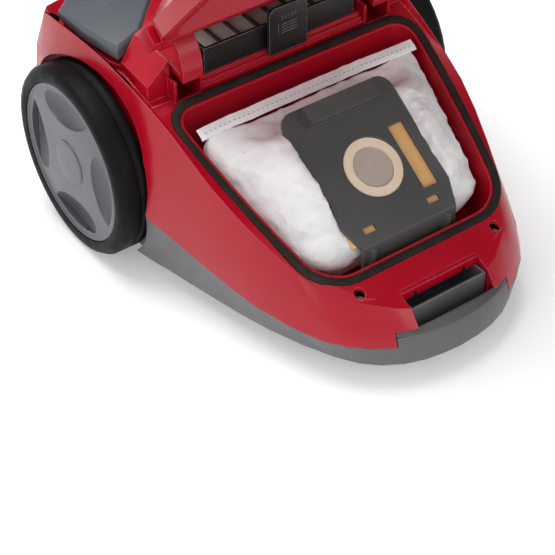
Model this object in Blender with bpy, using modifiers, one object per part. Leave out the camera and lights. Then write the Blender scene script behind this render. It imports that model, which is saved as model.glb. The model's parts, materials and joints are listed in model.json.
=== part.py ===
"""Canister vacuum cleaner with its lid open, as an assembly of separate solids.

Frame: metres, +Z up, the nose points to -Y, +X is the cleaner's left-right axis.
The origin lies on the floor, in the middle of the whole outline.
"""
import bpy
import bmesh
from math import asin, atan, cos, degrees, pi, radians, sin, sqrt
from mathutils import Matrix, Vector

# ---------------------------------------------------------------- driving dimensions
GAP = 0.0003                 # between faces that touch
WALL = 0.0025                # moulded shells
SEAL_SLOPE = 0.4676          # rise of the bag opening's plane per metre towards the rear
SEAL_FRONT = (-0.1476, 0.0783)   # y and z of the seal's front middle
SEAL_REAR_Y = 0.0197
SEAL_HALF = (0.0875, 0.1066, 0.1174)  # half widths at the front, middle and rear
SEAL_CORNER = (0.028, 0.022)  # corner radii, front and rear
SEAL_WIDTH = 0.0062
SEAL_HEIGHT = 0.0042
CHAMBER_WALL = 0.0020
CHAMBER_FLOOR = 0.0425
CHAMBER_TAPER = 0.90

WHEEL_Y = 0.0951
WHEEL_RADIUS = 0.0811
WHEEL_DISC_RADIUS = 0.0680
WHEEL_OUTER_X = 0.1637
WHEEL_WIDTH = 0.0300
ARCH_CLEARANCE = 0.0045
AXLE_RADIUS = 0.0060

HINGE_Y = 0.0570
HINGE_Z = 0.1820
LID_OPEN = 76.0              # degrees
LID_RISE = 0.0022            # the rim's height above the seal's plane
LID_OVERHANG = 0.0045        # the rim's width outside the seal's centre line
LID_SKIRT = 0.0150
LID_WALL = 0.0024
APRON_RADIUS = 0.0340
APRON_HALF = 0.0765
APRON_ARC = (30.0, 110.0)    # degrees above the horizontal, lid closed
ARM_X = 0.0910
ARM_WIDTH = 0.0180
ARM_RADIUS = 0.0385
ARM_THICK = 0.0045
ARM_ARC = (204.0, 266.0)     # degrees, lid closed
ARM_CLEARANCE = 0.0012
PIN_RADIUS = 0.0025

FILTER_SIZE = (0.1440, 0.0450, 0.0220)
FILTER_FRONT_Y = 0.0325
FILTER_FLOOR_Z = 0.1660
TAB_SIZE = (0.0360, 0.0030, 0.0420)

BLOCK_HALF = 0.1220
BLOCK_TOP = 0.1995
PEDAL_THICK = 0.0110
PEDAL_GAP = 0.0010
PEDAL_TRAVEL = 0.0045

HOLDER_TOP = (-0.0344, 0.1541)   # y and z of the holder plate's rear edge
HOLDER_SLOPE = 32.8
HOLDER_SIZE = (0.1046, 0.1190, 0.0030)
HOLDER_HOLE = 0.0235
MEMBRANE_HOLE = 0.0157
RING_DOWN = 0.0650           # from the plate's rear edge to the inlet's middle
CARD_THICK = 0.0018

RECESS_HALF = 0.0370
RECESS_BACK_Y = -0.1683
GRIP_HALF = 0.0545
CASTER_Y = -0.118
CASTER_RADIUS = 0.0135
CASTER_TRAIL = 0.010
MOTOR = (-0.040, 0.030, 0.078)   # x and z of the axis follow, y of its front face in the middle
MOTOR_RADIUS = 0.046
MOTOR_LENGTH = 0.080
REEL_X = 0.066
REEL_Y = 0.100
REEL_Z = 0.082
REEL_RADIUS = 0.052
REEL_WIDTH = 0.044

# ---------------------------------------------------------------- scene and materials
for old in list(bpy.data.objects):
    bpy.data.objects.remove(old, do_unlink=True)

PARTS = bpy.data.collections.new("canister_vacuum")
CUTTERS = bpy.data.collections.new("cutters")
for made in (PARTS, CUTTERS):
    bpy.context.scene.collection.children.link(made)


def material(name, colour, roughness, metallic=0.0):
    mat = bpy.data.materials.new(name)
    mat.use_nodes = True
    shader = mat.node_tree.nodes["Principled BSDF"]
    shader.inputs["Base Color"].default_value = (*colour, 1.0)
    shader.inputs["Roughness"].default_value = roughness
    shader.inputs["Metallic"].default_value = metallic
    mat.diffuse_color = (*colour, 1.0)
    return mat


RED = material("red_gloss", (0.62, 0.006, 0.022), 0.22)
GREY = material("base_grey", (0.16, 0.165, 0.17), 0.45)
SLATE = material("slate_grey", (0.075, 0.085, 0.095), 0.40)
HUB_GREY = material("hub_grey", (0.13, 0.145, 0.16), 0.40)
BLACK = material("black_satin", (0.012, 0.012, 0.014), 0.35)
CHARCOAL = material("charcoal", (0.040, 0.042, 0.045), 0.50)
RUBBER = material("rubber", (0.015, 0.014, 0.014), 0.75)
STEEL = material("steel", (0.55, 0.55, 0.56), 0.30, 1.0)
COPPER = material("copper", (0.70, 0.32, 0.16), 0.35, 1.0)
CARD = material("card", (0.52, 0.32, 0.17), 0.85)
CREAM = material("cream_seal", (0.75, 0.66, 0.50), 0.65)
MEMBRANE = material("membrane", (0.42, 0.38, 0.32), 0.70)
FLEECE = material("fleece", (0.86, 0.86, 0.84), 0.95)
PLEATS = material("pleats", (0.40, 0.36, 0.32), 0.90)
FOAM = material("filter_foam", (0.10, 0.10, 0.11), 0.95)
BOARD = material("board_green", (0.02, 0.12, 0.05), 0.55)


# ---------------------------------------------------------------- modelling helpers
def keep(obj, name, mat=None):
    """Name the object, put it among the parts or the cutters, and give it its material."""
    obj.name = name
    obj.data.name = name
    for group in list(obj.users_collection):
        group.objects.unlink(obj)
    obj.hide_render = mat is None
    obj.display_type = "WIRE" if mat is None else "TEXTURED"
    if mat is None:
        CUTTERS.objects.link(obj)
    else:
        PARTS.objects.link(obj)
        obj.data.materials.clear()
        obj.data.materials.append(mat)
    return obj


def from_bmesh(mesh, name, mat=None):
    bmesh.ops.remove_doubles(mesh, verts=mesh.verts, dist=1e-6)
    bmesh.ops.recalc_face_normals(mesh, faces=mesh.faces)
    data = bpy.data.meshes.new(name)
    mesh.to_mesh(data)
    mesh.free()
    return keep(bpy.data.objects.new(name, data), name, mat)


def box(name, low, high, mat=None):
    """A box between two corners."""
    middle = [(a + b) / 2 for a, b in zip(low, high)]
    bpy.ops.mesh.primitive_cube_add(size=1, location=middle)
    obj = bpy.context.object
    obj.scale = [b - a for a, b in zip(low, high)]
    bpy.ops.object.transform_apply(scale=True)
    return keep(obj, name, mat)


def rod(name, start, end, radius, mat=None, sides=32):
    """A round bar between two points."""
    start, end = Vector(start), Vector(end)
    along = end - start
    bpy.ops.mesh.primitive_cylinder_add(vertices=sides, radius=radius, depth=along.length)
    obj = bpy.context.object
    obj.matrix_world = (Matrix.Translation((start + end) / 2)
                        @ along.to_track_quat("Z", "Y").to_matrix().to_4x4())
    return keep(obj, name, mat)


def loft(name, loops, mat=None, matrix=Matrix()):
    """Skin closed loops of equal length and cap both ends."""
    mesh = bmesh.new()
    rings = [[mesh.verts.new(matrix @ Vector(p)) for p in loop] for loop in loops]
    count = len(rings[0])
    for low, high in zip(rings, rings[1:]):
        for i in range(count):
            j = (i + 1) % count
            mesh.faces.new((low[i], low[j], high[j], high[i]))
    mesh.faces.new(rings[0])
    mesh.faces.new(rings[-1])
    return from_bmesh(mesh, name, mat)


def ring_loft(name, loops, mat=None, matrix=Matrix()):
    """Skin closed loops round a hole: the last loop joins the first."""
    mesh = bmesh.new()
    rings = [[mesh.verts.new(matrix @ Vector(p)) for p in loop] for loop in loops]
    count = len(rings[0])
    for low, high in zip(rings, rings[1:] + rings[:1]):
        for i in range(count):
            j = (i + 1) % count
            mesh.faces.new((low[i], low[j], high[j], high[i]))
    return from_bmesh(mesh, name, mat)


def plate(name, outline, low, high, mat=None, matrix=Matrix()):
    """A flat outline in x and y, drawn as a filled curve between two heights."""
    curve = bpy.data.curves.new(name, "CURVE")
    curve.dimensions = "2D"
    curve.fill_mode = "BOTH"
    curve.extrude = (high - low) / 2
    spline = curve.splines.new("POLY")
    spline.points.add(len(outline) - 1)
    for point, (x, y) in zip(spline.points, outline):
        point.co = (x, y, 0, 1)
    spline.use_cyclic_u = True
    guide = bpy.data.objects.new(name + "_curve", curve)
    CUTTERS.objects.link(guide)
    bpy.context.view_layer.update()
    seen = guide.evaluated_get(bpy.context.evaluated_depsgraph_get())
    data = bpy.data.meshes.new_from_object(seen)
    bpy.data.objects.remove(guide)
    mesh = bmesh.new()
    mesh.from_mesh(data)
    bmesh.ops.transform(mesh, matrix=matrix @ Matrix.Translation((0, 0, (low + high) / 2)),
                        verts=mesh.verts)
    return from_bmesh(mesh, name, mat)


def turned(name, profile, mat=None, matrix=Matrix(), steps=40):
    """A turned solid: a closed profile of (radius, height) about Z, by a Screw modifier."""
    data = bpy.data.meshes.new(name)
    count = len(profile)
    hollow = min(r for r, _ in profile) > 0
    area = sum(a[0] * b[1] - b[0] * a[1] for a, b in zip(profile, profile[1:] + profile[:1]))
    if area > 0:
        profile = profile[::-1]
    edges = [(i, i + 1) for i in range(count - 1)]
    if hollow:
        edges.append((count - 1, 0))
    data.from_pydata([(r, 0, z) for r, z in profile], edges, [])
    obj = keep(bpy.data.objects.new(name, data), name, mat)
    screw = obj.modifiers.new("turn", "SCREW")
    screw.steps = screw.render_steps = steps
    screw.use_merge_vertices = True
    screw.merge_threshold = 0.00001
    obj.matrix_world = matrix
    return obj


def cut(obj, *cutters, operation="DIFFERENCE"):
    for cutter in cutters:
        change = obj.modifiers.new(cutter.name, "BOOLEAN")
        change.operation = operation
        change.object = cutter
        change.solver = "EXACT"
    return obj


def turn_x(angle, centre):
    """A turn about an axis along X through (y, z)."""
    y, z = centre
    return (Matrix.Translation((0, y, z)) @ Matrix.Rotation(radians(angle), 4, "X")
            @ Matrix.Translation((0, -y, -z)))


def along(direction, origin):
    """A frame whose Z runs along the direction, from the origin."""
    return (Matrix.Translation(origin)
            @ Vector(direction).to_track_quat("Z", "Y").to_matrix().to_4x4())


def smooth_through(keys, steps):
    """Points on a Catmull-Rom curve through the keys, the keys included."""
    keys = [Vector(k) for k in keys]
    ends = [2 * keys[0] - keys[1]] + keys + [2 * keys[-1] - keys[-2]]
    points = []
    for i in range(len(keys) - 1):
        a, b, c, d = ends[i:i + 4]
        for k in range(steps):
            t = k / steps
            points.append(0.5 * (2 * b + (c - a) * t + (2 * a - 5 * b + 4 * c - d) * t * t
                                 + (3 * b - a - 3 * c + d) * t ** 3))
    return points + [keys[-1]]


def mirrored(points):
    return [(-x, *rest) for x, *rest in points]


# ---------------------------------------------------------------- shared shapes
SLOPE = atan(SEAL_SLOPE)
SEAL_LENGTH = (SEAL_REAR_Y - SEAL_FRONT[0]) / cos(SLOPE)
PLANE = Matrix.Translation((0, *SEAL_FRONT)) @ Matrix.Rotation(SLOPE, 4, "X")
HINGE = (HINGE_Y, HINGE_Z)
SIDE_ON = Matrix(((0, 0, 1, 0), (1, 0, 0, 0), (0, 1, 0, 0), (0, 0, 0, 1)))  # (y, z) outlines, along X


def seal_plane_z(y):
    return SEAL_FRONT[1] + SEAL_SLOPE * (y - SEAL_FRONT[0])


def outset_loop(loop, distance):
    """Move each point of a counter-clockwise outline outwards along its corner's normal."""
    moved = []
    count = len(loop)
    for i, (x, y) in enumerate(loop):
        before = Vector((x, y)) - Vector(loop[i - 1])
        after = Vector(loop[(i + 1) % count]) - Vector((x, y))
        one = Vector((before.y, -before.x)).normalized()
        two = Vector((after.y, -after.x)).normalized()
        normal = (one + two).normalized()
        reach = distance / max(normal.dot(one), 0.5)
        moved.append((x + normal.x * reach, y + normal.y * reach))
    return moved


def arc(centre, radius, start, end, steps):
    """Points (y, z) or (x, y) on an arc, angles in degrees."""
    angles = [radians(start + (end - start) * k / steps) for k in range(steps + 1)]
    return [(centre[0] + radius * cos(a), centre[1] + radius * sin(a)) for a in angles]


def seal_half(s):
    """Half width of the seal's centre line, s metres up the slope from its front."""
    t = s / SEAL_LENGTH
    front, middle, rear = SEAL_HALF
    return front * (1 - t) * (1 - 2 * t) + middle * 4 * t * (1 - t) + rear * t * (2 * t - 1)


DRAW_FROM = 0.0120           # beyond this the outline is scaled, not offset


def seal_outline(outset=0.0):
    """The rounded outline of the bag opening in its own plane, counter-clockwise."""
    front, rear = SEAL_CORNER
    right = []
    for k in range(6):
        turn = pi / 2 * (1 - k / 5)
        s = front * (1 - sin(turn))
        right.append((seal_half(s) - front * (1 - cos(turn)), s))
    for k in range(1, 5):
        s = front + (SEAL_LENGTH - front - rear) * k / 5
        right.append((seal_half(s), s))
    for k in range(6):
        turn = pi / 2 * k / 5
        s = SEAL_LENGTH - rear * (1 - sin(turn))
        right.append((seal_half(s) - rear * (1 - cos(turn)), s))
    offset = outset_loop(right + mirrored(right[::-1]), max(outset, -DRAW_FROM))
    if outset >= -DRAW_FROM:
        return offset
    further = -outset - DRAW_FROM
    middle = SEAL_LENGTH / 2
    narrow = 1 - further / (SEAL_HALF[1] - DRAW_FROM)
    short = 1 - further / (middle - DRAW_FROM)
    return [(x * narrow, middle + (s - middle) * short) for x, s in offset]


def at_height(outline, n):
    return [(x, y, n) for x, y in outline]


def ladder_loft(name, loops, mat=None, matrix=Matrix()):
    """Skin loops whose points mirror about X, and cap both ends with rungs across."""
    mesh = bmesh.new()
    rings = [[mesh.verts.new(matrix @ Vector(p)) for p in loop] for loop in loops]
    count = len(rings[0])
    for low, high in zip(rings, rings[1:]):
        for i in range(count):
            j = (i + 1) % count
            mesh.faces.new((low[i], low[j], high[j], high[i]))
    for ring in (rings[0], rings[-1]):
        for i in range(count // 2 - 1):
            mesh.faces.new((ring[i], ring[i + 1], ring[count - 2 - i], ring[count - 1 - i]))
    return from_bmesh(mesh, name, mat)


# ---------------------------------------------------------------- the body's outer form
# Each rail runs along one side from the nose's middle to the tail's middle: (x, y, z).
FLOOR_Z = 0.0150
BASE_RAIL = [(0, -0.2010, 0.019), (0.032, -0.1975, 0.019), (0.063, -0.1830, 0.019),
             (0.086, -0.1550, 0.019), (0.108, -0.1025, 0.019), (0.122, -0.0520, 0.020),
             (0.134, 0.0000, 0.021), (0.141, 0.0320, 0.021), (0.143, 0.0850, 0.021),
             (0.143, 0.1350, 0.021), (0.138, 0.1680, 0.021), (0.124, 0.1860, 0.021),
             (0.062, 0.1950, 0.021), (0, 0.1970, 0.021)]
SEAM_RAIL = [(0, -0.2020, 0.036), (0.034, -0.1985, 0.0365), (0.070, -0.1820, 0.038),
             (0.098, -0.1530, 0.0405), (0.118, -0.1000, 0.046), (0.131, -0.0500, 0.058),
             (0.143, 0.0000, 0.073), (0.1495, 0.0300, 0.082), (0.1500, 0.0850, 0.095),
             (0.1500, 0.1350, 0.105), (0.145, 0.1680, 0.110), (0.130, 0.1900, 0.108),
             (0.065, 0.2005, 0.105), (0, 0.2020, 0.105)]
CREST_RAIL = [(0, -0.1900, 0.0600), (0.036, -0.1835, 0.0625), (0.0605, -0.1700, 0.0680),
              (0.0885, -0.1435, 0.0757), (0.1080, -0.0980, 0.0995), (0.1208, -0.0480, 0.1270),
              (0.1245, 0.0020, 0.1510), (0.1285, 0.0440, 0.1655), (0.1335, 0.0820, 0.1785),
              (0.1385, 0.1200, 0.1840), (0.1385, 0.1500, 0.1820), (0.128, 0.1760, 0.1740),
              (0.070, 0.1900, 0.1700), (0, 0.1940, 0.1700)]
DECK_RAIL = [(0, -0.1860, 0.0604), (0.034, -0.1795, 0.0634), (0.0565, -0.1660, 0.0697),
             (0.0840, -0.1400, 0.0819), (0.1010, -0.0960, 0.1024), (0.1125, -0.0480, 0.1249),
             (0.1210, 0.0010, 0.1478), (0.1220, 0.0440, 0.1600), (0.1260, 0.0820, 0.1680),
             (0.1300, 0.1200, 0.1700), (0.1300, 0.1460, 0.1690), (0.118, 0.1680, 0.1660),
             (0.064, 0.1800, 0.1650), (0, 0.1840, 0.1650)]
RAIL_STEPS = 2
SIDE_BULGE = 0.0030


def body_form(name, inset=0.0):
    """The closed outer form of both shells together, or the same form with its walls moved in."""
    base, seam, crest, deck = (smooth_through(r, RAIL_STEPS)
                               for r in (BASE_RAIL, SEAM_RAIL, CREST_RAIL, DECK_RAIL))
    mesh = bmesh.new()
    columns = []
    last = len(seam) - 1
    for i, (low, wide, top, inner) in enumerate(zip(base, seam, crest, deck)):
        side = (wide + top) / 2
        out = Vector((wide.x, wide.y, 0)).normalized()
        side += out * SIDE_BULGE
        side.x *= min(1, wide.x / 0.002)
        floor = Vector((max(low.x - 0.005, 0), low.y * 0.985, FLOOR_Z))
        ahead = seam[min(i + 1, last)] - seam[max(i - 1, 0)]
        if i in (0, last):
            ahead = Vector((1 if i == 0 else -1, 0, 0))
        inward = Vector((-ahead.y, ahead.x, 0)).normalized() * inset
        up = Vector((0, 0, inset))
        points = [floor + inward + up, low + inward + up, wide + inward, side + inward,
                  top + inward - up, inner + inward - up]
        points = [Vector((0, *points[0].yz))] + points + [Vector((0, *points[-1].yz))]
        columns.append([mesh.verts.new(p) for p in points])
    for one, two in zip(columns, columns[1:]):
        for i in range(len(one) - 1):
            mesh.faces.new((one[i], one[i + 1], two[i + 1], two[i]))
    bmesh.ops.mirror(mesh, geom=mesh.verts[:] + mesh.edges[:] + mesh.faces[:],
                     axis="X", merge_dist=0.00002)
    bmesh.ops.remove_doubles(mesh, verts=mesh.verts, dist=0.00002)
    bmesh.ops.recalc_face_normals(mesh, faces=mesh.faces)
    return from_bmesh(mesh, name)


BLOCK_BASE_Z = 0.1420
# y, half width, height of the side's edge, height of the crown
BLOCK_SECTIONS = [(0.0350, 0.1220, 0.1715, BLOCK_TOP), (0.0700, 0.1220, 0.1745, BLOCK_TOP),
                  (0.0820, 0.1270, 0.1770, BLOCK_TOP), (0.1500, 0.1280, 0.1780, 0.1980),
                  (0.1720, 0.1160, 0.1690, 0.1900), (0.1880, 0.0950, 0.1560, 0.1765)]


def block_form(name, inset=0.0):
    """The raised rear part that carries the hinges, the pedals and the filter bay."""
    loops = []
    last = len(BLOCK_SECTIONS) - 1
    for i, (y, half, side, crown) in enumerate(BLOCK_SECTIONS):
        y += inset * ((i == 0) - (i == last))
        drop = inset * (1.6 if i >= last - 1 else 1)
        right = [(half - inset, y, BLOCK_BASE_Z + inset), (half - inset, y, side - drop),
                 (half - 0.018 - inset / 2, y, side + 0.0165 - drop),
                 (0.068, y, crown - 0.003 - drop), (0.034, y, crown - 0.0008 - drop)]
        loops.append(right + mirrored(right[::-1]))
    return ladder_loft(name, loops)


# ---------------------------------------------------------------- hollows, each with its wall
HIGH = 0.24                  # above everything that is cut from the top
BAY_HALF = 0.0780
BAY_FRONT_Y = 0.0236
BAY_FLOOR_Z = 0.1507
BAY_RADIUS = APRON_RADIUS + 0.0008
POCKET_RADIUS = ARM_RADIUS + ARM_CLEARANCE
POCKET_HALF = ARM_WIDTH / 2 + 0.0018
POCKET_SILL_Z = 0.1560
POCKET_FRONT_Y = 0.0150
POCKET_REAR_Y = HINGE_Y + 0.0095
BROW_HALF = ARM_X + POCKET_HALF + 0.0022
BROW_FRONT_Y = 0.0252
BROW_TOP_Z = 0.1740


def bay_outline():
    """The filter bay seen from the side: a box at the front, and round behind for the apron."""
    low = -degrees(asin((HINGE_Z - BAY_FLOOR_Z) / BAY_RADIUS))
    rear = arc(HINGE, BAY_RADIUS, low, APRON_ARC[0], 10)
    return [(BAY_FRONT_Y, BAY_FLOOR_Z)] + rear + [(rear[-1][0], HIGH), (BAY_FRONT_Y, HIGH)]


def pocket_outline():
    """An arm's pocket: round below for the arm's sweep, and open at the front and the top."""
    start = 180 + degrees(asin((HINGE_Z - POCKET_SILL_Z) / POCKET_RADIUS))
    top = HIGH - 0.006
    return ([(POCKET_FRONT_Y, top), (POCKET_FRONT_Y, POCKET_SILL_Z)]
            + arc(HINGE, POCKET_RADIUS, start, 270, 6)
            + [(POCKET_REAR_Y, HINGE_Z - POCKET_RADIUS), (POCKET_REAR_Y, top)])


def across(name, outline, low, high, mat=None):
    """A (y, z) outline, from one x to another."""
    return plate(name, outline, low, high, mat, SIDE_ON)


bay_cut = across("bay_cut", bay_outline(), -BAY_HALF, BAY_HALF)
bay_keep = across("bay_keep", outset_loop(bay_outline(), WALL), -BAY_HALF - WALL, BAY_HALF + WALL)

pocket_cuts, pocket_keeps = [], []
for side in (-1, 1):
    low = side * ARM_X - POCKET_HALF
    high = side * ARM_X + POCKET_HALF
    pocket_cuts.append(across("pocket_cut", pocket_outline(), low, high))
    pocket_keeps.append(across("pocket_keep", outset_loop(pocket_outline(), WALL - GAP),
                               low - WALL, high + WALL))

# The pedals' outline, seen from above, on the +X side.
PEDAL_OUTLINE = [(0.1250, 0.0720), (0.1320, 0.1120), (0.1325, 0.1490), (0.1180, 0.1590),
                 (0.0740, 0.1590), (0.0690, 0.1100), (0.0980, 0.0800)]
PEDAL_BOTTOM_Z = 0.1775
WELL_FLOOR_Z = PEDAL_BOTTOM_Z - PEDAL_TRAVEL - 0.0010
pedal_cuts, pedal_keeps = [], []
for side in (-1, 1):
    around = [(side * x, y) for x, y in PEDAL_OUTLINE][::side]
    pedal_cuts.append(plate("pedal_cut", outset_loop(around, PEDAL_GAP), WELL_FLOOR_Z, HIGH))
    pedal_keeps.append(plate("pedal_keep", outset_loop(around, PEDAL_GAP + WALL),
                             WELL_FLOOR_Z - WALL, HIGH))

arch_cuts, arch_keeps = [], []
ARCH_X = WHEEL_OUTER_X - WHEEL_WIDTH - 0.0025
ARCH_RADIUS = WHEEL_RADIUS + ARCH_CLEARANCE
for side in (-1, 1):
    axle = (WHEEL_Y, WHEEL_RADIUS)
    arch_cuts.append(rod("arch_cut", (side * ARCH_X, *axle), (side * 0.20, *axle),
                         ARCH_RADIUS, sides=48))
    arch_keeps.append(rod("arch_keep", (side * (ARCH_X - WALL), *axle), (side * 0.20, *axle),
                          ARCH_RADIUS + WALL, sides=48))

# The grip recess in the nose: an opening in the deck, finger room below, and the grip's seat.
DECK_EDGE_Z = seal_plane_z(RECESS_BACK_Y)
FINGER_BACK_Y = RECESS_BACK_Y + 0.0160
FINGER_FLOOR_Z = 0.0320
FINGER_HALF = RECESS_HALF - 0.0008
FINGER_TOP_Z = DECK_EDGE_Z - 0.0085
NOSE_Y = -0.215
recess_cuts = [box("recess_cut", (-RECESS_HALF, NOSE_Y, 0.0370), (RECESS_HALF, RECESS_BACK_Y, 0.09)),
               box("finger_cut", (-FINGER_HALF, NOSE_Y - 0.001, FINGER_FLOOR_Z),
                   (FINGER_HALF, FINGER_BACK_Y, FINGER_TOP_Z)),
               box("grip_cut", (-GRIP_HALF, NOSE_Y - 0.002, 0.0310), (GRIP_HALF, -0.1855, 0.0500))]
recess_keeps = [box("recess_keep", (-RECESS_HALF - WALL, NOSE_Y, FINGER_FLOOR_Z - WALL),
                    (RECESS_HALF + WALL, FINGER_BACK_Y + WALL, 0.09)),
                box("grip_keep", (-GRIP_HALF - WALL, NOSE_Y - 0.001, 0.0),
                    (GRIP_HALF + WALL, -0.1855 + WALL, 0.1))]

# ---------------------------------------------------------------- shells
void = cut(body_form("body_void", WALL), block_form("block_void", WALL), operation="UNION")
cut(void, bay_keep, *pocket_keeps, *pedal_keeps, *arch_keeps, *recess_keeps)

# Below this line, seen from the side, the shell is the grey base.
SEAM_LINE = [(-0.25, 0.0375), (-0.1900, 0.0375), (-0.1635, 0.0400), (-0.0955, 0.0455),
             (0.0245, 0.0765), (0.0500, 0.0830), (0.1350, 0.1000), (0.25, 0.1030)]
below_seam = across("below_seam", [(-0.25, -0.02), (0.25, -0.02)] + SEAM_LINE[::-1], -0.3, 0.3)
below_seam_gap = across("below_seam_gap", [(-0.25, -0.03), (0.26, -0.03)]
                        + [(y, z + GAP) for y, z in SEAM_LINE[::-1]], -0.31, 0.31)
LIP_Z = 0.0450
lip_room = box("lip_room", (-GRIP_HALF + 0.001, NOSE_Y, 0.03), (GRIP_HALF - 0.001, -0.1880, LIP_Z))

base_shell = keep(body_form("base_shell"), "base_shell", GREY)
base_region = keep(below_seam.copy(), "base_region")
base_region.data = below_seam.data.copy()
cut(base_region, lip_room, operation="UNION")
finger_floor = box("finger_floor", (-FINGER_HALF, -0.1829, FINGER_FLOOR_Z), (FINGER_HALF, FINGER_BACK_Y, 0.08))
cut(base_shell, void, *arch_cuts, finger_floor)
cut(base_shell, base_region, operation="INTERSECT")

top_shell = keep(body_form("top_shell"), "top_shell", RED)
brow = box("brow", (-BROW_HALF, BROW_FRONT_Y, 0.1500), (BROW_HALF, 0.0400, BROW_TOP_Z))
opening = ladder_loft("opening", [at_height(seal_outline(SEAL_WIDTH / 2 + GAP), n)
                                  for n in (-0.0600, 0.0600)], matrix=PLANE)
cut(top_shell, block_form("block"), brow, operation="UNION")
cut(top_shell, void, opening, bay_cut, *pocket_cuts, *pedal_cuts, *arch_cuts, *recess_cuts,
    below_seam_gap)

# The thin walls between the bay and the pockets only rise high enough to hold the pins.
WALL_TOP_Z = HINGE_Z + 0.0080
for side in (-1, 1):
    edges = sorted((side * (BAY_HALF - 0.0005), side * (ARM_X - POCKET_HALF + 0.0005)))
    cut(top_shell, box("fin_cut", (edges[0], 0.0200, WALL_TOP_Z),
                       (edges[1], POCKET_REAR_Y - 0.0004, HIGH)))

# ---------------------------------------------------------------- bag chamber and its seal
GROOVE_N = -(SEAL_HEIGHT + GAP)
FLANGE_N = GROOVE_N - CHAMBER_WALL
LIP_OUT = -(SEAL_WIDTH / 2 + GAP)
CHAMBER_OUT = LIP_OUT - CHAMBER_WALL
CHAMBER_MIDDLE_Y = -0.070


def in_world(outline, n):
    return [PLANE @ Vector((x, y, n)) for x, y in outline]


def chamber_floor_loop(inset, z):
    """The chamber's outline brought down to the floor and drawn in towards its middle."""
    points = in_world(seal_outline(LIP_OUT - inset), 0)
    return [(p.x * CHAMBER_TAPER, CHAMBER_MIDDLE_Y + (p.y - CHAMBER_MIDDLE_Y) * 0.93, z)
            for p in points]


dust_chamber = ladder_loft("dust_chamber", [
    chamber_floor_loop(CHAMBER_WALL, CHAMBER_FLOOR + CHAMBER_WALL),
    in_world(seal_outline(CHAMBER_OUT), -0.0005),
    in_world(seal_outline(LIP_OUT), -0.0005),
    in_world(seal_outline(LIP_OUT), GROOVE_N),
    in_world(seal_outline(-LIP_OUT - GAP), GROOVE_N),
    in_world(seal_outline(-LIP_OUT - GAP), FLANGE_N),
    in_world(seal_outline(LIP_OUT), FLANGE_N),
    chamber_floor_loop(0, CHAMBER_FLOOR)], RED)

# Air leaves through a grille in the chamber's rear wall, past a foam pad, to the motor.
GRILLE_X = MOTOR[0]
GRILLE_Z = 0.082
GRILLE_RADIUS = 0.030
port_cut = rod("port_cut", (GRILLE_X, -0.010, GRILLE_Z), (GRILLE_X, 0.030, GRILLE_Z),
               GRILLE_RADIUS)
cut(dust_chamber, port_cut)

motor_grille = rod("motor_grille", (GRILLE_X, 0.0085, GRILLE_Z), (GRILLE_X, 0.0110, GRILLE_Z),
                   GRILLE_RADIUS - GAP, CHARCOAL)
for k in range(-2, 3):
    z = GRILLE_Z + k * 0.0100
    reach = sqrt((GRILLE_RADIUS - 0.004) ** 2 - (abs(k) * 0.0100 + 0.0030) ** 2)
    cut(motor_grille, box("grille_slot", (GRILLE_X - reach, 0.0, z - 0.0030),
                          (GRILLE_X + reach, 0.02, z + 0.0030)))
pre_motor_filter = rod("pre_motor_filter", (GRILLE_X, 0.0113, GRILLE_Z),
                       (GRILLE_X, 0.0200, GRILLE_Z), GRILLE_RADIUS - 0.0008, FOAM)

SEAL_FOOT = SEAL_WIDTH / 2
SEAL_TOP = 0.0016            # above the seal's plane
lid_seal = ring_loft("lid_seal", [
    in_world(seal_outline(-SEAL_FOOT), -SEAL_HEIGHT),
    in_world(seal_outline(-SEAL_FOOT), 0.0004),
    in_world(seal_outline(-SEAL_FOOT + 0.0016), SEAL_TOP),
    in_world(seal_outline(SEAL_FOOT - 0.0016), SEAL_TOP),
    in_world(seal_outline(SEAL_FOOT), 0.0004),
    in_world(seal_outline(SEAL_FOOT), -SEAL_HEIGHT)], RUBBER)

# ---------------------------------------------------------------- nose: strike, grip, screws
STRIKE_THICK = 0.0030
latch_strike = box("latch_strike", (-RECESS_HALF + GAP, RECESS_BACK_Y - STRIKE_THICK - GAP, FINGER_TOP_Z),
                   (RECESS_HALF - GAP, RECESS_BACK_Y - GAP, DECK_EDGE_Z - 0.0004), RED)
for side in (-1, 1):
    cut(latch_strike, box("strike_notch", (side * 0.0235 - 0.002, -0.18, FINGER_TOP_Z - 0.001),
                          (side * 0.0235 + 0.002, -0.16, FINGER_TOP_Z + 0.0040)))

BUCKET_WALL = 0.0016
BUCKET_FRONT_Y = -0.1826
bucket_low = (-FINGER_HALF + GAP, BUCKET_FRONT_Y, FINGER_FLOOR_Z + GAP)
bucket_high = (FINGER_HALF - GAP, FINGER_BACK_Y - GAP, FINGER_TOP_Z - GAP)
recess_liner = box("recess_liner", bucket_low, bucket_high, GREY)
cut(recess_liner, box("recess_hollow",
                      (bucket_low[0] + BUCKET_WALL, bucket_low[1] + BUCKET_WALL,
                       bucket_low[2] + BUCKET_WALL),
                      (bucket_high[0] - BUCKET_WALL, bucket_high[1] - BUCKET_WALL, 0.1)))

# The grip: a bowed, sloping band from one side of the recess to the other.
GRIP_STATIONS = 13
grip_loops = []
for k in range(GRIP_STATIONS):
    u = -1 + 2 * k / (GRIP_STATIONS - 1)
    x = (GRIP_HALF - 0.0006) * u
    bow = 1 - u * u
    front_y = -0.1880 - 0.0128 * bow ** 0.8
    back_y = -0.1862 - 0.0072 * bow
    top = 0.0496 + 0.0024 * max(0, 1 - (x / (RECESS_HALF - 0.001)) ** 2)
    bottom = LIP_Z + GAP
    grip_loops.append([(x, front_y, bottom), (x, front_y + 0.0006, bottom + 0.0018),
                       (x, back_y - 0.0016, top), (x, back_y, top - 0.0004), (x, back_y, bottom)])
front_grip = loft("front_grip", grip_loops, CHARCOAL)

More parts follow.
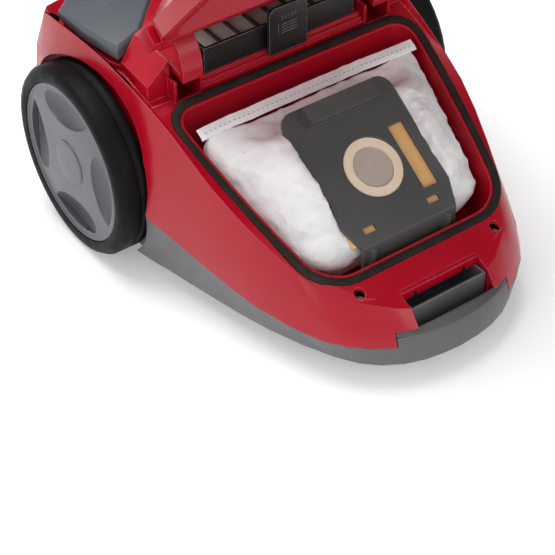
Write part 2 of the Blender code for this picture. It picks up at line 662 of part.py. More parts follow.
SCREW_AT = (0.0655, -0.1573)
SCREW_HOLE = 0.0043
for side, word in ((-1, "left"), (1, "right")):
    x, y = side * SCREW_AT[0], SCREW_AT[1]
    z = seal_plane_z(y)
    cut(top_shell, rod("screw_cut", (x, y, z - 0.0100), (x, y, z + 0.02), SCREW_HOLE, sides=20))
    turned("deck_screw_" + word, [(0, 0.0), (0.0032, 0.0), (0.0036, -0.0016), (0.0016, -0.0030),
                                  (0.0014, -0.0140), (0, -0.0150)], STEEL,
           Matrix.Translation((x, y, z - 0.0050)), 16)

# ---------------------------------------------------------------- wheels
def wheel(side, word):
    """A dished hub disc with four scooped pockets, and a grooved tyre round it."""
    face = along((side, 0, 0), (side * (WHEEL_OUTER_X - WHEEL_WIDTH), WHEEL_Y, WHEEL_RADIUS))
    rim = WHEEL_DISC_RADIUS
    bore = AXLE_RADIUS + 0.0005
    disc = turned("wheel_%s_disc" % word, [
        (bore, 0.0180), (0.0150, 0.0180), (0.0160, 0.0215), (rim - 0.010, 0.0205),
        (rim - 0.0040, 0.0040), (rim - 0.0002, 0.0040), (rim - 0.0002, 0.0262),
        (rim - 0.0040, 0.0290), (0.0300, 0.0292), (0.0190, 0.0290), (0.0180, 0.0282),
        (bore, 0.0282)], HUB_GREY, face, 44)
    for k in range(4):
        turn = radians(45 + 90 * k)
        bpy.ops.mesh.primitive_uv_sphere_add(segments=16, ring_count=8, radius=1)
        scoop = bpy.context.object
        scoop.scale = (0.0150, 0.0240, 0.0060)
        bpy.ops.object.transform_apply(scale=True)
        scoop = keep(scoop, "scoop")
        scoop.matrix_world = (face @ Matrix.Rotation(turn, 4, "Z")
                              @ Matrix.Translation((0.0430, 0, 0.0325)))
        cut(disc, scoop)
    tread = WHEEL_RADIUS
    turned("wheel_%s_tyre" % word, [
        (rim + GAP, 0.0010), (tread - 0.0040, 0.0010), (tread, 0.0040), (tread, 0.0085),
        (tread - 0.0020, 0.0100), (tread - 0.0020, 0.0115), (tread, 0.0130), (tread, 0.0240),
        (tread - 0.0030, 0.0285), (tread - 0.0080, 0.0300), (rim + GAP, 0.0290)],
           RUBBER, face, 44)
    turned("wheel_%s_cap" % word, [(0, 0.0286), (0.0172, 0.0286), (0.0172, 0.0292),
                                   (0.0150, 0.0299), (0, 0.0300)], HUB_GREY, face, 32)
    rod("axle_" + word, (side * (ARCH_X - WALL - 0.016), WHEEL_Y, WHEEL_RADIUS),
        (side * (WHEEL_OUTER_X - 0.0030), WHEEL_Y, WHEEL_RADIUS), AXLE_RADIUS, STEEL, 24)
    hole = rod("axle_cut", (side * 0.100, WHEEL_Y, WHEEL_RADIUS), (side * 0.16, WHEEL_Y, WHEEL_RADIUS),
               AXLE_RADIUS + GAP, sides=24)
    cut(base_shell, hole)
    cut(top_shell, hole)


wheel(-1, "left")
wheel(1, "right")

# ---------------------------------------------------------------- front caster
CUP_RADIUS = CASTER_TRAIL + CASTER_RADIUS + 0.0045
CUP_TOP_Z = 2 * CASTER_RADIUS + 0.0065
for name, radius, top, mat in (("cup_wall", CUP_RADIUS + WALL, CUP_TOP_Z + WALL, None),):
    cup_wall = rod(name, (0, CASTER_Y, FLOOR_Z + 0.0010), (0, CASTER_Y, top), radius)
cut(base_shell, cup_wall, operation="UNION")
cut(base_shell, rod("cup_cut", (0, CASTER_Y, 0), (0, CASTER_Y, CUP_TOP_Z), CUP_RADIUS))
PIN_TOP_Z = CUP_TOP_Z + WALL + 0.0040
boss = rod("caster_boss", (0, CASTER_Y, CUP_TOP_Z + 0.0005), (0, CASTER_Y, PIN_TOP_Z), 0.0080, sides=24)
cut(base_shell, boss, operation="UNION")
cut(base_shell, rod("pin_cut", (0, CASTER_Y, CUP_TOP_Z - 0.01), (0, CASTER_Y, PIN_TOP_Z + 0.01),
                    0.0035, sides=20))
ROLLER_Y = CASTER_Y + CASTER_TRAIL
ROLLER_WIDTH = 0.0160
FORK_TOP_Z = 2 * CASTER_RADIUS + 0.0055
FORK_PLATE_Z = 2 * CASTER_RADIUS + 0.0015
caster_fork = rod("caster_fork", (0, CASTER_Y, FORK_PLATE_Z), (0, CASTER_Y, FORK_TOP_Z), 0.0200,
                  CHARCOAL, 32)
for side in (-1, 1):
    edges = sorted((side * (ROLLER_WIDTH / 2 + 0.0010), side * (ROLLER_WIDTH / 2 + 0.0035)))
    cheek = box("cheek", (edges[0], ROLLER_Y - 0.0065, CASTER_RADIUS - 0.0050),
                (edges[1], ROLLER_Y + 0.0055, FORK_PLATE_Z + 0.0010))
    cut(caster_fork, cheek, operation="UNION")
cut(caster_fork, rod("fork_pin", (0, CASTER_Y, FORK_TOP_Z - 0.001), (0, CASTER_Y, PIN_TOP_Z + 0.0015),
                     0.0030, sides=20), operation="UNION")
cut(caster_fork, rod("fork_bore", (-0.02, ROLLER_Y, CASTER_RADIUS), (0.02, ROLLER_Y, CASTER_RADIUS),
                     0.0018, sides=16))
roller_frame = along((1, 0, 0), (-ROLLER_WIDTH / 2, ROLLER_Y, CASTER_RADIUS))
turned("caster_roller", [(0.0018, 0), (CASTER_RADIUS - 0.0015, 0), (CASTER_RADIUS, 0.0015),
                         (CASTER_RADIUS, ROLLER_WIDTH - 0.0015),
                         (CASTER_RADIUS - 0.0015, ROLLER_WIDTH), (0.0018, ROLLER_WIDTH)],
       RUBBER, roller_frame, 32)
AXLE_REACH = ROLLER_WIDTH / 2 + 0.0040
rod("caster_axle", (-AXLE_REACH, ROLLER_Y, CASTER_RADIUS), (AXLE_REACH, ROLLER_Y, CASTER_RADIUS),
    0.0015, STEEL, 16)

# ---------------------------------------------------------------- drive: motor, fan, reel, board
MOTOR_FRONT_Y = MOTOR[1]
MOTOR_Z = MOTOR[2]
MOTOR_REAR_Y = MOTOR_FRONT_Y + MOTOR_LENGTH
motor_frame = along((0, 1, 0), (MOTOR[0], MOTOR_FRONT_Y, MOTOR_Z))
CAN = MOTOR_RADIUS
turned("motor_housing", [
    (0.0150, 0.0), (CAN, 0.0), (CAN, 0.0240), (CAN - 0.008, 0.0300), (CAN - 0.010, MOTOR_LENGTH),
    (0.0060, MOTOR_LENGTH), (0.0060, MOTOR_LENGTH - 0.0030), (CAN - 0.0125, MOTOR_LENGTH - 0.0030),
    (CAN - 0.0110, 0.0310), (0.0060, 0.0310), (0.0060, 0.0285), (CAN - 0.0110, 0.0275),
    (CAN - 0.0020, 0.0220), (CAN - 0.0020, 0.0020), (0.0150, 0.0020)], STEEL, motor_frame, 32)
turned("motor_fan", [(0.0030, 0.0060), (0.0090, 0.0060), (0.0120, 0.0100), (CAN - 0.0060, 0.0150),
                     (CAN - 0.0060, 0.0200), (0.0030, 0.0215)], CHARCOAL, motor_frame, 32)
rod("motor_shaft", (MOTOR[0], MOTOR_FRONT_Y + 0.0030, MOTOR_Z),
    (MOTOR[0], MOTOR_REAR_Y + 0.0030, MOTOR_Z), 0.0027, STEEL, 20)
turned("motor_rotor", [(0.0030, 0.0350), (0.0230, 0.0350), (0.0230, 0.0700),
                       (0.0030, 0.0700)], COPPER, motor_frame, 28)
turned("motor_mount_front", [(CAN - 0.0100, -0.0050), (CAN - 0.0010, -0.0050),
                             (CAN - 0.0010, -0.0003), (CAN - 0.0100, -0.0003)],
       RUBBER, motor_frame, 32)
turned("motor_mount_rear", [(0.0110, MOTOR_LENGTH + 0.0003), (0.0220, MOTOR_LENGTH + 0.0003),
                            (0.0220, MOTOR_LENGTH + 0.0060), (0.0110, MOTOR_LENGTH + 0.0060)],
       RUBBER, motor_frame, 32)

reel_frame = along((1, 0, 0), (REEL_X - REEL_WIDTH / 2, REEL_Y, REEL_Z))
FLANGE = 0.0020
turned("cord_reel", [
    (0.0085, 0), (REEL_RADIUS, 0), (REEL_RADIUS, FLANGE), (0.0260, FLANGE),
    (0.0260, REEL_WIDTH - FLANGE), (REEL_RADIUS, REEL_WIDTH - FLANGE), (REEL_RADIUS, REEL_WIDTH),
    (0.0085, REEL_WIDTH)], CHARCOAL, reel_frame, 36)
rod("reel_axle", (REEL_X - REEL_WIDTH / 2 - 0.005, REEL_Y, REEL_Z),
    (REEL_X + REEL_WIDTH / 2 + 0.005, REEL_Y, REEL_Z), 0.0080, STEEL, 24)
BOARD_AT = (-0.040, 0.1600, 0.0300)
control_board = box("control_board", BOARD_AT, (0.020, 0.1616, 0.0800), BOARD)

# ---------------------------------------------------------------- tail: grille, cord gland, dial
REAR_FACE_Y = 0.2000
VENT_HALF = 0.0500
VENT_Z = (0.1180, 0.1500)
vent_cut = box("vent_cut", (-VENT_HALF, 0.1850, VENT_Z[0]), (VENT_HALF, 0.2200, VENT_Z[1]))
cut(top_shell, vent_cut)
exhaust_grille = box("exhaust_grille", (-VENT_HALF + GAP, 0.1935, VENT_Z[0] + GAP),
                     (VENT_HALF - GAP, 0.1965, VENT_Z[1] - GAP), CHARCOAL)
for k in range(5):
    z = VENT_Z[0] + 0.0050 + 0.0056 * k
    cut(exhaust_grille, box("vent_slot", (-VENT_HALF + 0.006, 0.18, z), (VENT_HALF - 0.006, 0.21, z + 0.0030)))

GLAND_AT = (0.0850, 0.1300)
GLAND_RADIUS = 0.0095
gland_frame = along((0, 1, 0), (GLAND_AT[0], 0.1800, GLAND_AT[1]))
cut(top_shell, rod("gland_cut", (GLAND_AT[0], 0.170, GLAND_AT[1]), (GLAND_AT[0], 0.22, GLAND_AT[1]),
                   GLAND_RADIUS + GAP, sides=28))
turned("cord_gland", [(0.0042, 0.0), (GLAND_RADIUS, 0.0), (GLAND_RADIUS, 0.0165),
                      (GLAND_RADIUS - 0.002, 0.0180), (0.0065, 0.0180), (0.0042, 0.0150)],
       CHARCOAL, gland_frame, 28)

DIAL_AT = (0.0, 0.1280)
DIAL_RADIUS = 0.0180
DIAL_Z = 0.1994
cut(top_shell, rod("dial_cut", (*DIAL_AT, DIAL_Z - 0.0060), (*DIAL_AT, DIAL_Z + 0.02), DIAL_RADIUS + 0.0006))
dial_keep = rod("dial_keep", (*DIAL_AT, DIAL_Z - 0.0060 - WALL), (*DIAL_AT, DIAL_Z + 0.02),
                DIAL_RADIUS + WALL)
cut(void, dial_keep)
turned("suction_dial", [(0, -0.0056), (DIAL_RADIUS, -0.0056), (DIAL_RADIUS, 0.0020),
                        (DIAL_RADIUS - 0.0020, 0.0040), (0, 0.0040)], SLATE,
       Matrix.Translation((*DIAL_AT, DIAL_Z)), 32)
cut(bpy.data.objects["suction_dial"],
    box("dial_mark", (-0.0008, DIAL_AT[1] - 0.0155, DIAL_Z + 0.0032),
        (0.0008, DIAL_AT[1] - 0.0060, DIAL_Z + 0.01)))


# ---------------------------------------------------------------- pedals
def pedal_top_z(x):
    """The pedals slope gently down towards the sides."""
    return 0.1965 - 0.14 * (abs(x) - 0.069)


for side, word in ((-1, "power"), (1, "rewind")):
    around = [(side * x, y) for x, y in PEDAL_OUTLINE][::side]
    inner = outset_loop(around, -0.0026)
    loft("pedal_" + word, [[(x, y, PEDAL_BOTTOM_Z) for x, y in around],
                           [(x, y, pedal_top_z(x) - 0.0026) for x, y in around],
                           [(x, y, pedal_top_z(x)) for x, y in inner]], SLATE)
    x, y = side * 0.0980, 0.1000
    turned("pedal_spring_" + word, [(0.0035, WELL_FLOOR_Z + GAP), (0.0055, WELL_FLOOR_Z + GAP),
                                    (0.0055, PEDAL_BOTTOM_Z - GAP),
                                    (0.0035, PEDAL_BOTTOM_Z - GAP)], STEEL,
           Matrix.Translation((x, y, 0)), 16)

# ---------------------------------------------------------------- filter tray and cassette
TRAY_HALF = BAY_HALF - GAP
TRAY_TOP_Z = FILTER_FLOOR_Z - GAP
TRAY_FRONT_Y = 0.0258
TRAY_STEP = 0.0028
filter_tray = across("filter_tray", [
    (TRAY_FRONT_Y, BAY_FLOOR_Z + GAP), (0.0715, BAY_FLOOR_Z + 0.0005), (0.0765, 0.1548),
    (0.0765, TRAY_TOP_Z), (0.0312, TRAY_TOP_Z), (0.0312, TRAY_TOP_Z - TRAY_STEP),
    (0.0282, TRAY_TOP_Z - TRAY_STEP), (0.0282, TRAY_TOP_Z - 2 * TRAY_STEP),
    (TRAY_FRONT_Y, TRAY_TOP_Z - 2 * TRAY_STEP)], -TRAY_HALF, TRAY_HALF, RED)

FRAME_WALL = 0.0030
fx, fy, fz = (FILTER_SIZE[0] / 2, FILTER_SIZE[1], FILTER_SIZE[2])
frame_low = (-fx, FILTER_FRONT_Y, FILTER_FLOOR_Z)
frame_high = (fx, FILTER_FRONT_Y + fy, FILTER_FLOOR_Z + fz)
filter_frame = box("filter_frame", frame_low, frame_high, BLACK)
cut(filter_frame, box("frame_hole", (-fx + FRAME_WALL, frame_low[1] + FRAME_WALL, 0.1),
                      (fx - FRAME_WALL, frame_high[1] - FRAME_WALL, HIGH)))
BARS = 7
for k in range(1, BARS + 1):
    x = -fx + 2 * fx * k / (BARS + 1)
    cut(filter_frame, box("bar", (x - 0.0012, frame_low[1] + 0.0010, frame_high[2] - 0.0028),
                          (x + 0.0012, frame_high[1] - 0.0010, frame_high[2] - 0.0006)),
        operation="UNION")
TAB_ROUND = 0.0060
TAB_AT = (0.0020, 0.0275, 0.1635)
tab_half, tab_thick, tab_high = TAB_SIZE[0] / 2, TAB_SIZE[1], TAB_SIZE[2]
tab_outline = ([(-tab_half, 0), (tab_half, 0)]
               + arc((tab_half - TAB_ROUND, tab_high - TAB_ROUND), TAB_ROUND, 0, 90, 4)
               + arc((-tab_half + TAB_ROUND, tab_high - TAB_ROUND), TAB_ROUND, 90, 180, 4))
tab = plate("tab", tab_outline, 0, tab_thick, None,
            Matrix.Translation(TAB_AT) @ Matrix.Rotation(pi / 2, 4, "X"))
stem = box("stem", (TAB_AT[0] - 0.009, TAB_AT[1] - 0.001, 0.1700),
           (TAB_AT[0] + 0.009, FILTER_FRONT_Y + 0.001, 0.1850))
cut(filter_frame, stem, operation="UNION")
cut(filter_frame, tab, operation="UNION")
PLEAT_COUNT = 30
half = fx - FRAME_WALL - GAP
crest_z = frame_high[2] - 0.0031
trough_z = crest_z - 0.0040
zigzag = []
for k in range(PLEAT_COUNT + 1):
    x = -half + 2 * half * k / PLEAT_COUNT
    zigzag.append((x, trough_z if k % 2 == 0 else crest_z))
floor_z = FILTER_FLOOR_Z + 0.0015
pleat_outline = [(-half, floor_z), (half, floor_z)] + zigzag[::-1]
filter_pleats = plate("filter_pleats", pleat_outline, -(frame_high[1] - FRAME_WALL - GAP),
                      -(frame_low[1] + FRAME_WALL + GAP), PLEATS, Matrix.Rotation(pi / 2, 4, "X"))

# ---------------------------------------------------------------- bag carrier
HOLD = (Matrix.Translation((0, *HOLDER_TOP)) @ Matrix.Rotation(radians(HOLDER_SLOPE), 4, "X"))
HX, HL, HT = HOLDER_SIZE[0] / 2, HOLDER_SIZE[1], HOLDER_SIZE[2]
LOWER_HALF = HX - 0.0070
SHOULDER = 0.0980
holder_outline = ([(-LOWER_HALF, -HL), (LOWER_HALF, -HL), (HX, -SHOULDER)]
                  + arc((HX - 0.012, -0.012), 0.012, 0, 90, 5)
                  + arc((-HX + 0.012, -0.012), 0.012, 90, 180, 5)
                  + [(-HX, -0.0690), (-HX + 0.003, -0.0690), (-HX + 0.003, -0.0805), (-HX, -0.0805),
                     (-HX, -SHOULDER)])
bag_holder = plate("bag_holder", holder_outline, -HT, 0, CHARCOAL, HOLD)


def on_holder(obj):
    obj.matrix_world = HOLD @ obj.matrix_world
    return obj


CARD_TOP = -HT - GAP
CARD_LOW = CARD_TOP - CARD_THICK
cut(bag_holder, on_holder(box("grip_box", (-0.0325, -0.0180, -0.0010), (0.0325, -0.0030, 0.0105))),
    operation="UNION")
# The carrier's front wall hangs straight down from the plate's front edge, with two half-round ribs.
front_edge = HOLD @ Vector((0, -HL, 0))
FRONT_WALL_Y = front_edge.y - 0.0006
FRONT_WALL_TOP_Z = front_edge.z - 0.0004
FRONT_WALL_LOW_Z = front_edge.z - 0.0200
cut(bag_holder, box("front_wall", (-LOWER_HALF + 0.0004, FRONT_WALL_Y, FRONT_WALL_LOW_Z),
                    (LOWER_HALF - 0.0004, FRONT_WALL_Y + 0.0028, FRONT_WALL_TOP_Z)), operation="UNION")
for side in (-1, 1):
    x = side * (LOWER_HALF - 0.0090)
    cut(bag_holder, rod("front_rib", (x, FRONT_WALL_Y, FRONT_WALL_LOW_Z + 0.0004),
                        (x, FRONT_WALL_Y, FRONT_WALL_TOP_Z - 0.0020), 0.0034, sides=16),
        operation="UNION")
ring_hole = on_holder(rod("ring_hole", (0, -RING_DOWN, -0.02), (0, -RING_DOWN, 0.02), HOLDER_HOLE + 0.0015,
                          sides=40))
window = on_holder(box("window", (0.0285, -0.0970, -0.0100), (0.0430, -0.0410, 0.0100)))
cut(bag_holder, ring_hole, window)
for side in (-1, 1):
    edges = sorted((side * 0.0250, side * 0.0365))
    cut(bag_holder, on_holder(box("small_window", (edges[0], -0.1098, -0.0060), (edges[1], -0.1045, 0.0060))))

bag_card = on_holder(box("bag_card", (-HX + 0.0025, -0.1150, CARD_LOW), (HX - 0.0025, -0.0050, CARD_TOP), CARD))
cut(bag_card, on_holder(rod("card_hole", (0, -RING_DOWN, -0.02), (0, -RING_DOWN, 0.02), MEMBRANE_HOLE,
                            sides=32)))
inlet_frame = HOLD @ Matrix.Translation((0, -RING_DOWN, 0))
turned("inlet_ring", [(MEMBRANE_HOLE + 0.0012, CARD_TOP + GAP), (HOLDER_HOLE + 0.0010, CARD_TOP + GAP),
                      (HOLDER_HOLE + 0.0010, -0.0010), (MEMBRANE_HOLE + 0.0012, -0.0010)],
       CREAM, inlet_frame, 40)
turned("inlet_membrane", [(0, CARD_TOP + GAP), (MEMBRANE_HOLE + 0.0009, CARD_TOP + GAP),
                          (MEMBRANE_HOLE + 0.0009, -0.0022), (0, -0.0019)],
       MEMBRANE, inlet_frame, 32)

BAG_BACK_S = 0.1600
BAG_FRONT_S = 0.0080


def bag_loop(outset, n):
    """The bag's outline in the seal's plane, shorter than the opening at the rear."""
    stretch = (BAG_BACK_S - BAG_FRONT_S) / SEAL_LENGTH
    return [PLANE @ Vector((x * 0.985, BAG_FRONT_S + y * stretch, n(y * stretch) if callable(n) else n))
            for x, y in seal_outline(-0.0080 + outset)]


BAG_BOTTOM_Z = 0.0480
bag_bottom = [(p.x * 0.80, -0.074 + (p.y + 0.074) * 0.80, BAG_BOTTOM_Z) for p in bag_loop(-0.006, -0.02)]
bag_low = [(p.x * 0.92, -0.074 + (p.y + 0.074) * 0.92, BAG_BOTTOM_Z + 0.0120 + 0.18 * (p.y + 0.14))
           for p in bag_loop(-0.003, -0.02)]
dust_bag = ladder_loft("dust_bag", [
    bag_bottom, bag_low, bag_loop(-0.0010, -0.0140), bag_loop(-0.0030, -0.0040),
    bag_loop(-0.0180, 0.0010), bag_loop(-0.0400, 0.0200)], FLEECE)
BAG_CLEAR = 0.0006
cut(dust_bag, on_holder(box("card_room", (-HX - BAG_CLEAR, -HL - 0.004, CARD_LOW - BAG_CLEAR),
                            (HX + BAG_CLEAR, 0.0030, 0.0500))),
    box("face_room", (-LOWER_HALF - BAG_CLEAR, -0.2, -0.01),
        (LOWER_HALF + BAG_CLEAR, FRONT_WALL_Y + 0.0030 + BAG_CLEAR, 0.2)))

# ---------------------------------------------------------------- lid, modelled shut, then opened
OPENED = turn_x(-LID_OPEN, HINGE)
ON_LID = OPENED @ PLANE
NOSE_REACH = 0.0110
REAR_TRIM = 0.0013


def lid_loop(outset, n):
    """An outline of the lid; its nose reaches over the deck in front of the opening."""
    points = []
    for x, s in seal_outline(outset):
        push = NOSE_REACH * max(0, (0.04 - s) / 0.04) ** 2
        trim = REAR_TRIM * max(0, min(1, (s - SEAL_LENGTH + 0.03) / 0.03))
        points.append((x * (1 - 2.2 * push), s - push - trim, n(s) if callable(n) else n))
    return points


def rising(base, share):
    """A height above the lid's plane that is low at the nose and full at the rear."""
    def height(s):
        t = max(0, min(1, s / SEAL_LENGTH))
        return base + share * (0.25 + 0.75 * t * t * (3 - 2 * t))
    return height


SKIRT_TOP = LID_RISE + LID_SKIRT
CROWN = 0.0195
# outset and extra height of each ring of the dome
DOME_RINGS = [(-0.0100, 0.0100), (-0.0300, 0.0180), (-0.0550, 0.0270)]


def lid_form(name, inset, foot):
    """The lid's outer form, or its inside when drawn in by the wall."""
    loops = [lid_loop(LID_OVERHANG - inset, foot),
             lid_loop(LID_OVERHANG - 0.0005 - inset, SKIRT_TOP - inset),
             lid_loop(LID_OVERHANG - 0.0030 - inset, CROWN - inset)]
    loops += [lid_loop(outset, rising(CROWN - inset, share)) for outset, share in DOME_RINGS]
    return ladder_loft(name, loops, matrix=ON_LID)


def hood_outline(inset):
    """The raised hood over the filter's tab, running on into the apron behind it."""
    low, high = APRON_ARC
    top = [(-0.0050, 0.1950), (0.0120, 0.2065), (0.0300, 0.2130)]
    return [(y, z - inset) for y, z in top] + arc(HINGE, APRON_RADIUS - inset, high, low, 10)


lid_shell = keep(lid_form("lid_shell", 0, LID_RISE), "lid_shell", RED)
rim_relief = rod("rim_relief", (-0.055, *HINGE), (0.055, *HINGE), 0.0412, sides=72)
rim_relief.matrix_world = OPENED @ rim_relief.matrix_world
apron = plate("apron", hood_outline(0) + hood_outline(LID_WALL)[::-1], -APRON_HALF, APRON_HALF,
              None, OPENED @ SIDE_ON)
hood_front = [(-0.0044, 0.1945), (-0.0165, 0.1745), (-0.0150, 0.1720), (-0.0115, 0.1735),
              (-0.0020, 0.1935)]
hood_face = plate("hood_face", hood_front, -APRON_HALF + 0.0004, APRON_HALF - 0.0004, None,
                  OPENED @ SIDE_ON)
cut(lid_shell, lid_form("lid_hollow", LID_WALL, LID_RISE - 0.001), rim_relief)
cut(lid_shell, hood_face, apron, operation="UNION")
ear_rooms = []
for side in (-1, 1):
    edges = sorted((side * (APRON_HALF - 0.0002), side * (APRON_HALF - LID_WALL)))
    cheek = plate("hood_cheek", [(-0.0145, 0.1738), (-0.0040, 0.1930), (0.0125, 0.2050),
                                 (0.0302, 0.2116), (0.0440, 0.2118), (0.0440, 0.2030),
                                 (0.0300, 0.1980), (0.0180, 0.1860), (0.0115, 0.1712)],
                  edges[0], edges[1], None, OPENED @ SIDE_ON)
    ear = box("ear", (-0.0079, -0.0085, 0.0004), (0.0079, 0.0085, 0.0160))
    ear.matrix_world = (ON_LID @ Matrix.Translation((side * 0.1134, SEAL_LENGTH + 0.0037, LID_RISE))
                        @ ear.matrix_world)
    cut(lid_shell, cheek, ear, operation="UNION")
    ear_room = box("ear_room", (-0.0082, -0.0088, -0.003), (0.0082, 0.0088, 0.0163))
    ear_room.matrix_world = (ON_LID @ Matrix.Translation((side * 0.1134, SEAL_LENGTH + 0.0037, LID_RISE))
                             @ ear_room.matrix_world)
    ear_rooms.append(ear_room)

# The lid's inside: a rim that meets the seal, and a dished skin above it.
SKIN = 0.0016
liner_out = LID_OVERHANG - LID_WALL - 0.0008
RIM_LOW = SEAL_TOP + GAP
lid_liner = ladder_loft("lid_liner", [
    lid_loop(-0.0550, rising(0.0060, 0.0340)), lid_loop(-0.0300, rising(0.0060, 0.0240)),
    lid_loop(-0.0100, 0.0060), lid_loop(-0.0065, RIM_LOW), lid_loop(liner_out, RIM_LOW),
    lid_loop(liner_out, RIM_LOW + 0.0060), lid_loop(-0.0040, RIM_LOW + 0.0062),
    lid_loop(-0.0090, 0.0060 + SKIN + 0.0006), lid_loop(-0.0300, rising(0.0060 + SKIN, 0.0240)),
    lid_loop(-0.0550, rising(0.0060 + SKIN, 0.0340))], matrix=ON_LID)
keep(lid_liner, "lid_liner", RED)
cut(lid_liner, rim_relief, *ear_rooms)

# The hose's port, square to the bag carrier.
PORT_BORE = 0.0175
PORT_OUT = 0.0238
PORT_FLANGE = 0.0300
PORT_SEAT = 0.0335
PORT_TOP = 0.0480
port_frame = OPENED @ inlet_frame
port_hole = rod("port_hole", (0, 0, 0.0), (0, 0, 0.060), PORT_OUT + GAP, sides=40)
port_hole.matrix_world = port_frame @ port_hole.matrix_world
flange_room = rod("flange_room", (0, 0, PORT_SEAT - GAP), (0, 0, 0.070), PORT_FLANGE + GAP, sides=40)
flange_room.matrix_world = port_frame @ flange_room.matrix_world
cut(lid_shell, port_hole, flange_room)
cut(lid_liner, port_hole)
turned("hose_port", [
    (PORT_BORE, 0.0040), (PORT_OUT, 0.0040), (PORT_OUT, PORT_SEAT), (PORT_FLANGE, PORT_SEAT),
    (PORT_FLANGE, PORT_TOP - 0.0020), (PORT_FLANGE - 0.0020, PORT_TOP), (PORT_BORE, PORT_TOP)],
       CHARCOAL, port_frame, 40)
turned("port_gasket", [(PORT_BORE - 0.0005, 0.0008), (PORT_OUT - 0.0010, 0.0008),
                       (PORT_OUT, 0.0037), (PORT_BORE - 0.0005, 0.0037)],
       RUBBER, port_frame, 40)

# Curved arms carry the lid; each swings in its pocket about a pin.
HUB_RADIUS = 0.0065
WEB_THICK = 0.0050


def hinge_arm(side, word):
    low, high = side * ARM_X - ARM_WIDTH / 2, side * ARM_X + ARM_WIDTH / 2
    start, end = ARM_ARC
    strap = (arc(HINGE, ARM_RADIUS, start, end, 9)
             + arc(HINGE, ARM_RADIUS - ARM_THICK, end, start, 9))
    arm = plate("hinge_arm_" + word, strap, low, high, RED, OPENED @ SIDE_ON)
    turn = radians(end)
    out = Vector((cos(turn), sin(turn)))
    beside = Vector((-out.y, out.x))
    root = Vector(HINGE)
    tip = root + out * (ARM_RADIUS - 0.0008)
    web = plate("web", [tuple(root), tuple(root - beside * WEB_THICK),
                        tuple(tip - beside * WEB_THICK), tuple(tip - beside * 0.0004)],
                low + 0.0004, high - 0.0004, None, OPENED @ SIDE_ON)
    hub = rod("hub", (low + 0.0002, *HINGE), (high - 0.0002, *HINGE), HUB_RADIUS, sides=24)
    cut(arm, web, hub, operation="UNION")
    cut(arm, rod("pin_hole", (low - 0.01, *HINGE), (high + 0.01, *HINGE), PIN_RADIUS + GAP, sides=20))
    inner = ARM_X - POCKET_HALF - 0.0016
    outer = ARM_X + POCKET_HALF + 0.0015
    cut(top_shell, rod("pin_seat", (side * (inner - 0.0030), *HINGE), (side * (outer + GAP), *HINGE),
                       PIN_RADIUS + GAP, sides=20))
    rod("hinge_pin_" + word, (side * inner, *HINGE), (side * outer, *HINGE), PIN_RADIUS, STEEL, 20)
    # where the arm's root enters the lid's rear edge
    room = plate("arm_room", arc(HINGE, ARM_RADIUS + GAP, start - 4, end, 8)
                 + arc(HINGE, ARM_RADIUS - ARM_THICK - GAP, end, start - 4, 8),
                 low - GAP, high + GAP, None, OPENED @ SIDE_ON)
    cut(lid_shell, room)
    cut(lid_liner, room)


hinge_arm(-1, "left")
hinge_arm(1, "right")

# The latch at the lid's nose rocks on a pin and hooks under the strike.
LATCH_HALF = 0.0200
LATCH_PIN = (-0.1640, 0.0800)
LUG = 0.0030
latch_slot = box("latch_slot", (-LATCH_HALF - 0.0006, -0.20, 0.05), (LATCH_HALF + 0.0006, -0.1565, 0.12))
latch_slot.matrix_world = OPENED @ latch_slot.matrix_world
lug_room = box("lug_room", (-LATCH_HALF - 0.0010 - LUG, -0.20, 0.05), (LATCH_HALF + 0.0010 + LUG, -0.1492, 0.12))
lug_room.matrix_world = OPENED @ lug_room.matrix_world
cut(lid_liner, lug_room)
for side in (-1, 1):
    edges = sorted((side * (LATCH_HALF - 0.0010), side * (LATCH_HALF + 0.0006 + LUG)))
    lug = plate("lug", [(-0.1610, 0.0765), (-0.1500, 0.0830), (-0.1560, 0.0935), (-0.1670, 0.0880)],
                edges[0], edges[1], None, OPENED @ SIDE_ON)
    cut(lid_shell, lug, operation="UNION")
cut(lid_shell, latch_slot)
pin_seat = rod("latch_pin_seat", (-0.0225, *LATCH_PIN), (0.0225, *LATCH_PIN), 0.0012 + GAP, sides=16)
pin_seat.matrix_world = OPENED @ pin_seat.matrix_world
cut(lid_shell, pin_seat)
latch_side = [(-0.1615, 0.0775), (-0.1615, 0.0825), (-0.1690, 0.0875), (-0.1745, 0.0850),
              (-0.1785, 0.0700), (-0.1775, 0.0545), (-0.1708, 0.0545), (-0.1708, 0.0582),
              (-0.1735, 0.0592), (-0.1735, 0.0722), (-0.1690, 0.0755)]
lid_latch = plate("lid_latch", latch_side[::-1], -LATCH_HALF, LATCH_HALF, CHARCOAL, OPENED @ SIDE_ON)
cut(lid_latch, pin_seat)
latch_pin = rod("latch_pin", (-0.0222, *LATCH_PIN), (0.0222, *LATCH_PIN), 0.0012, STEEL, 16)
latch_pin.matrix_world = OPENED @ latch_pin.matrix_world
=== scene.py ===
import bpy
import json
from math import cos, pi, radians, sin
from mathutils import Matrix, Vector, noise
from mathutils.bvhtree import BVHTree
from mathutils.kdtree import KDTree


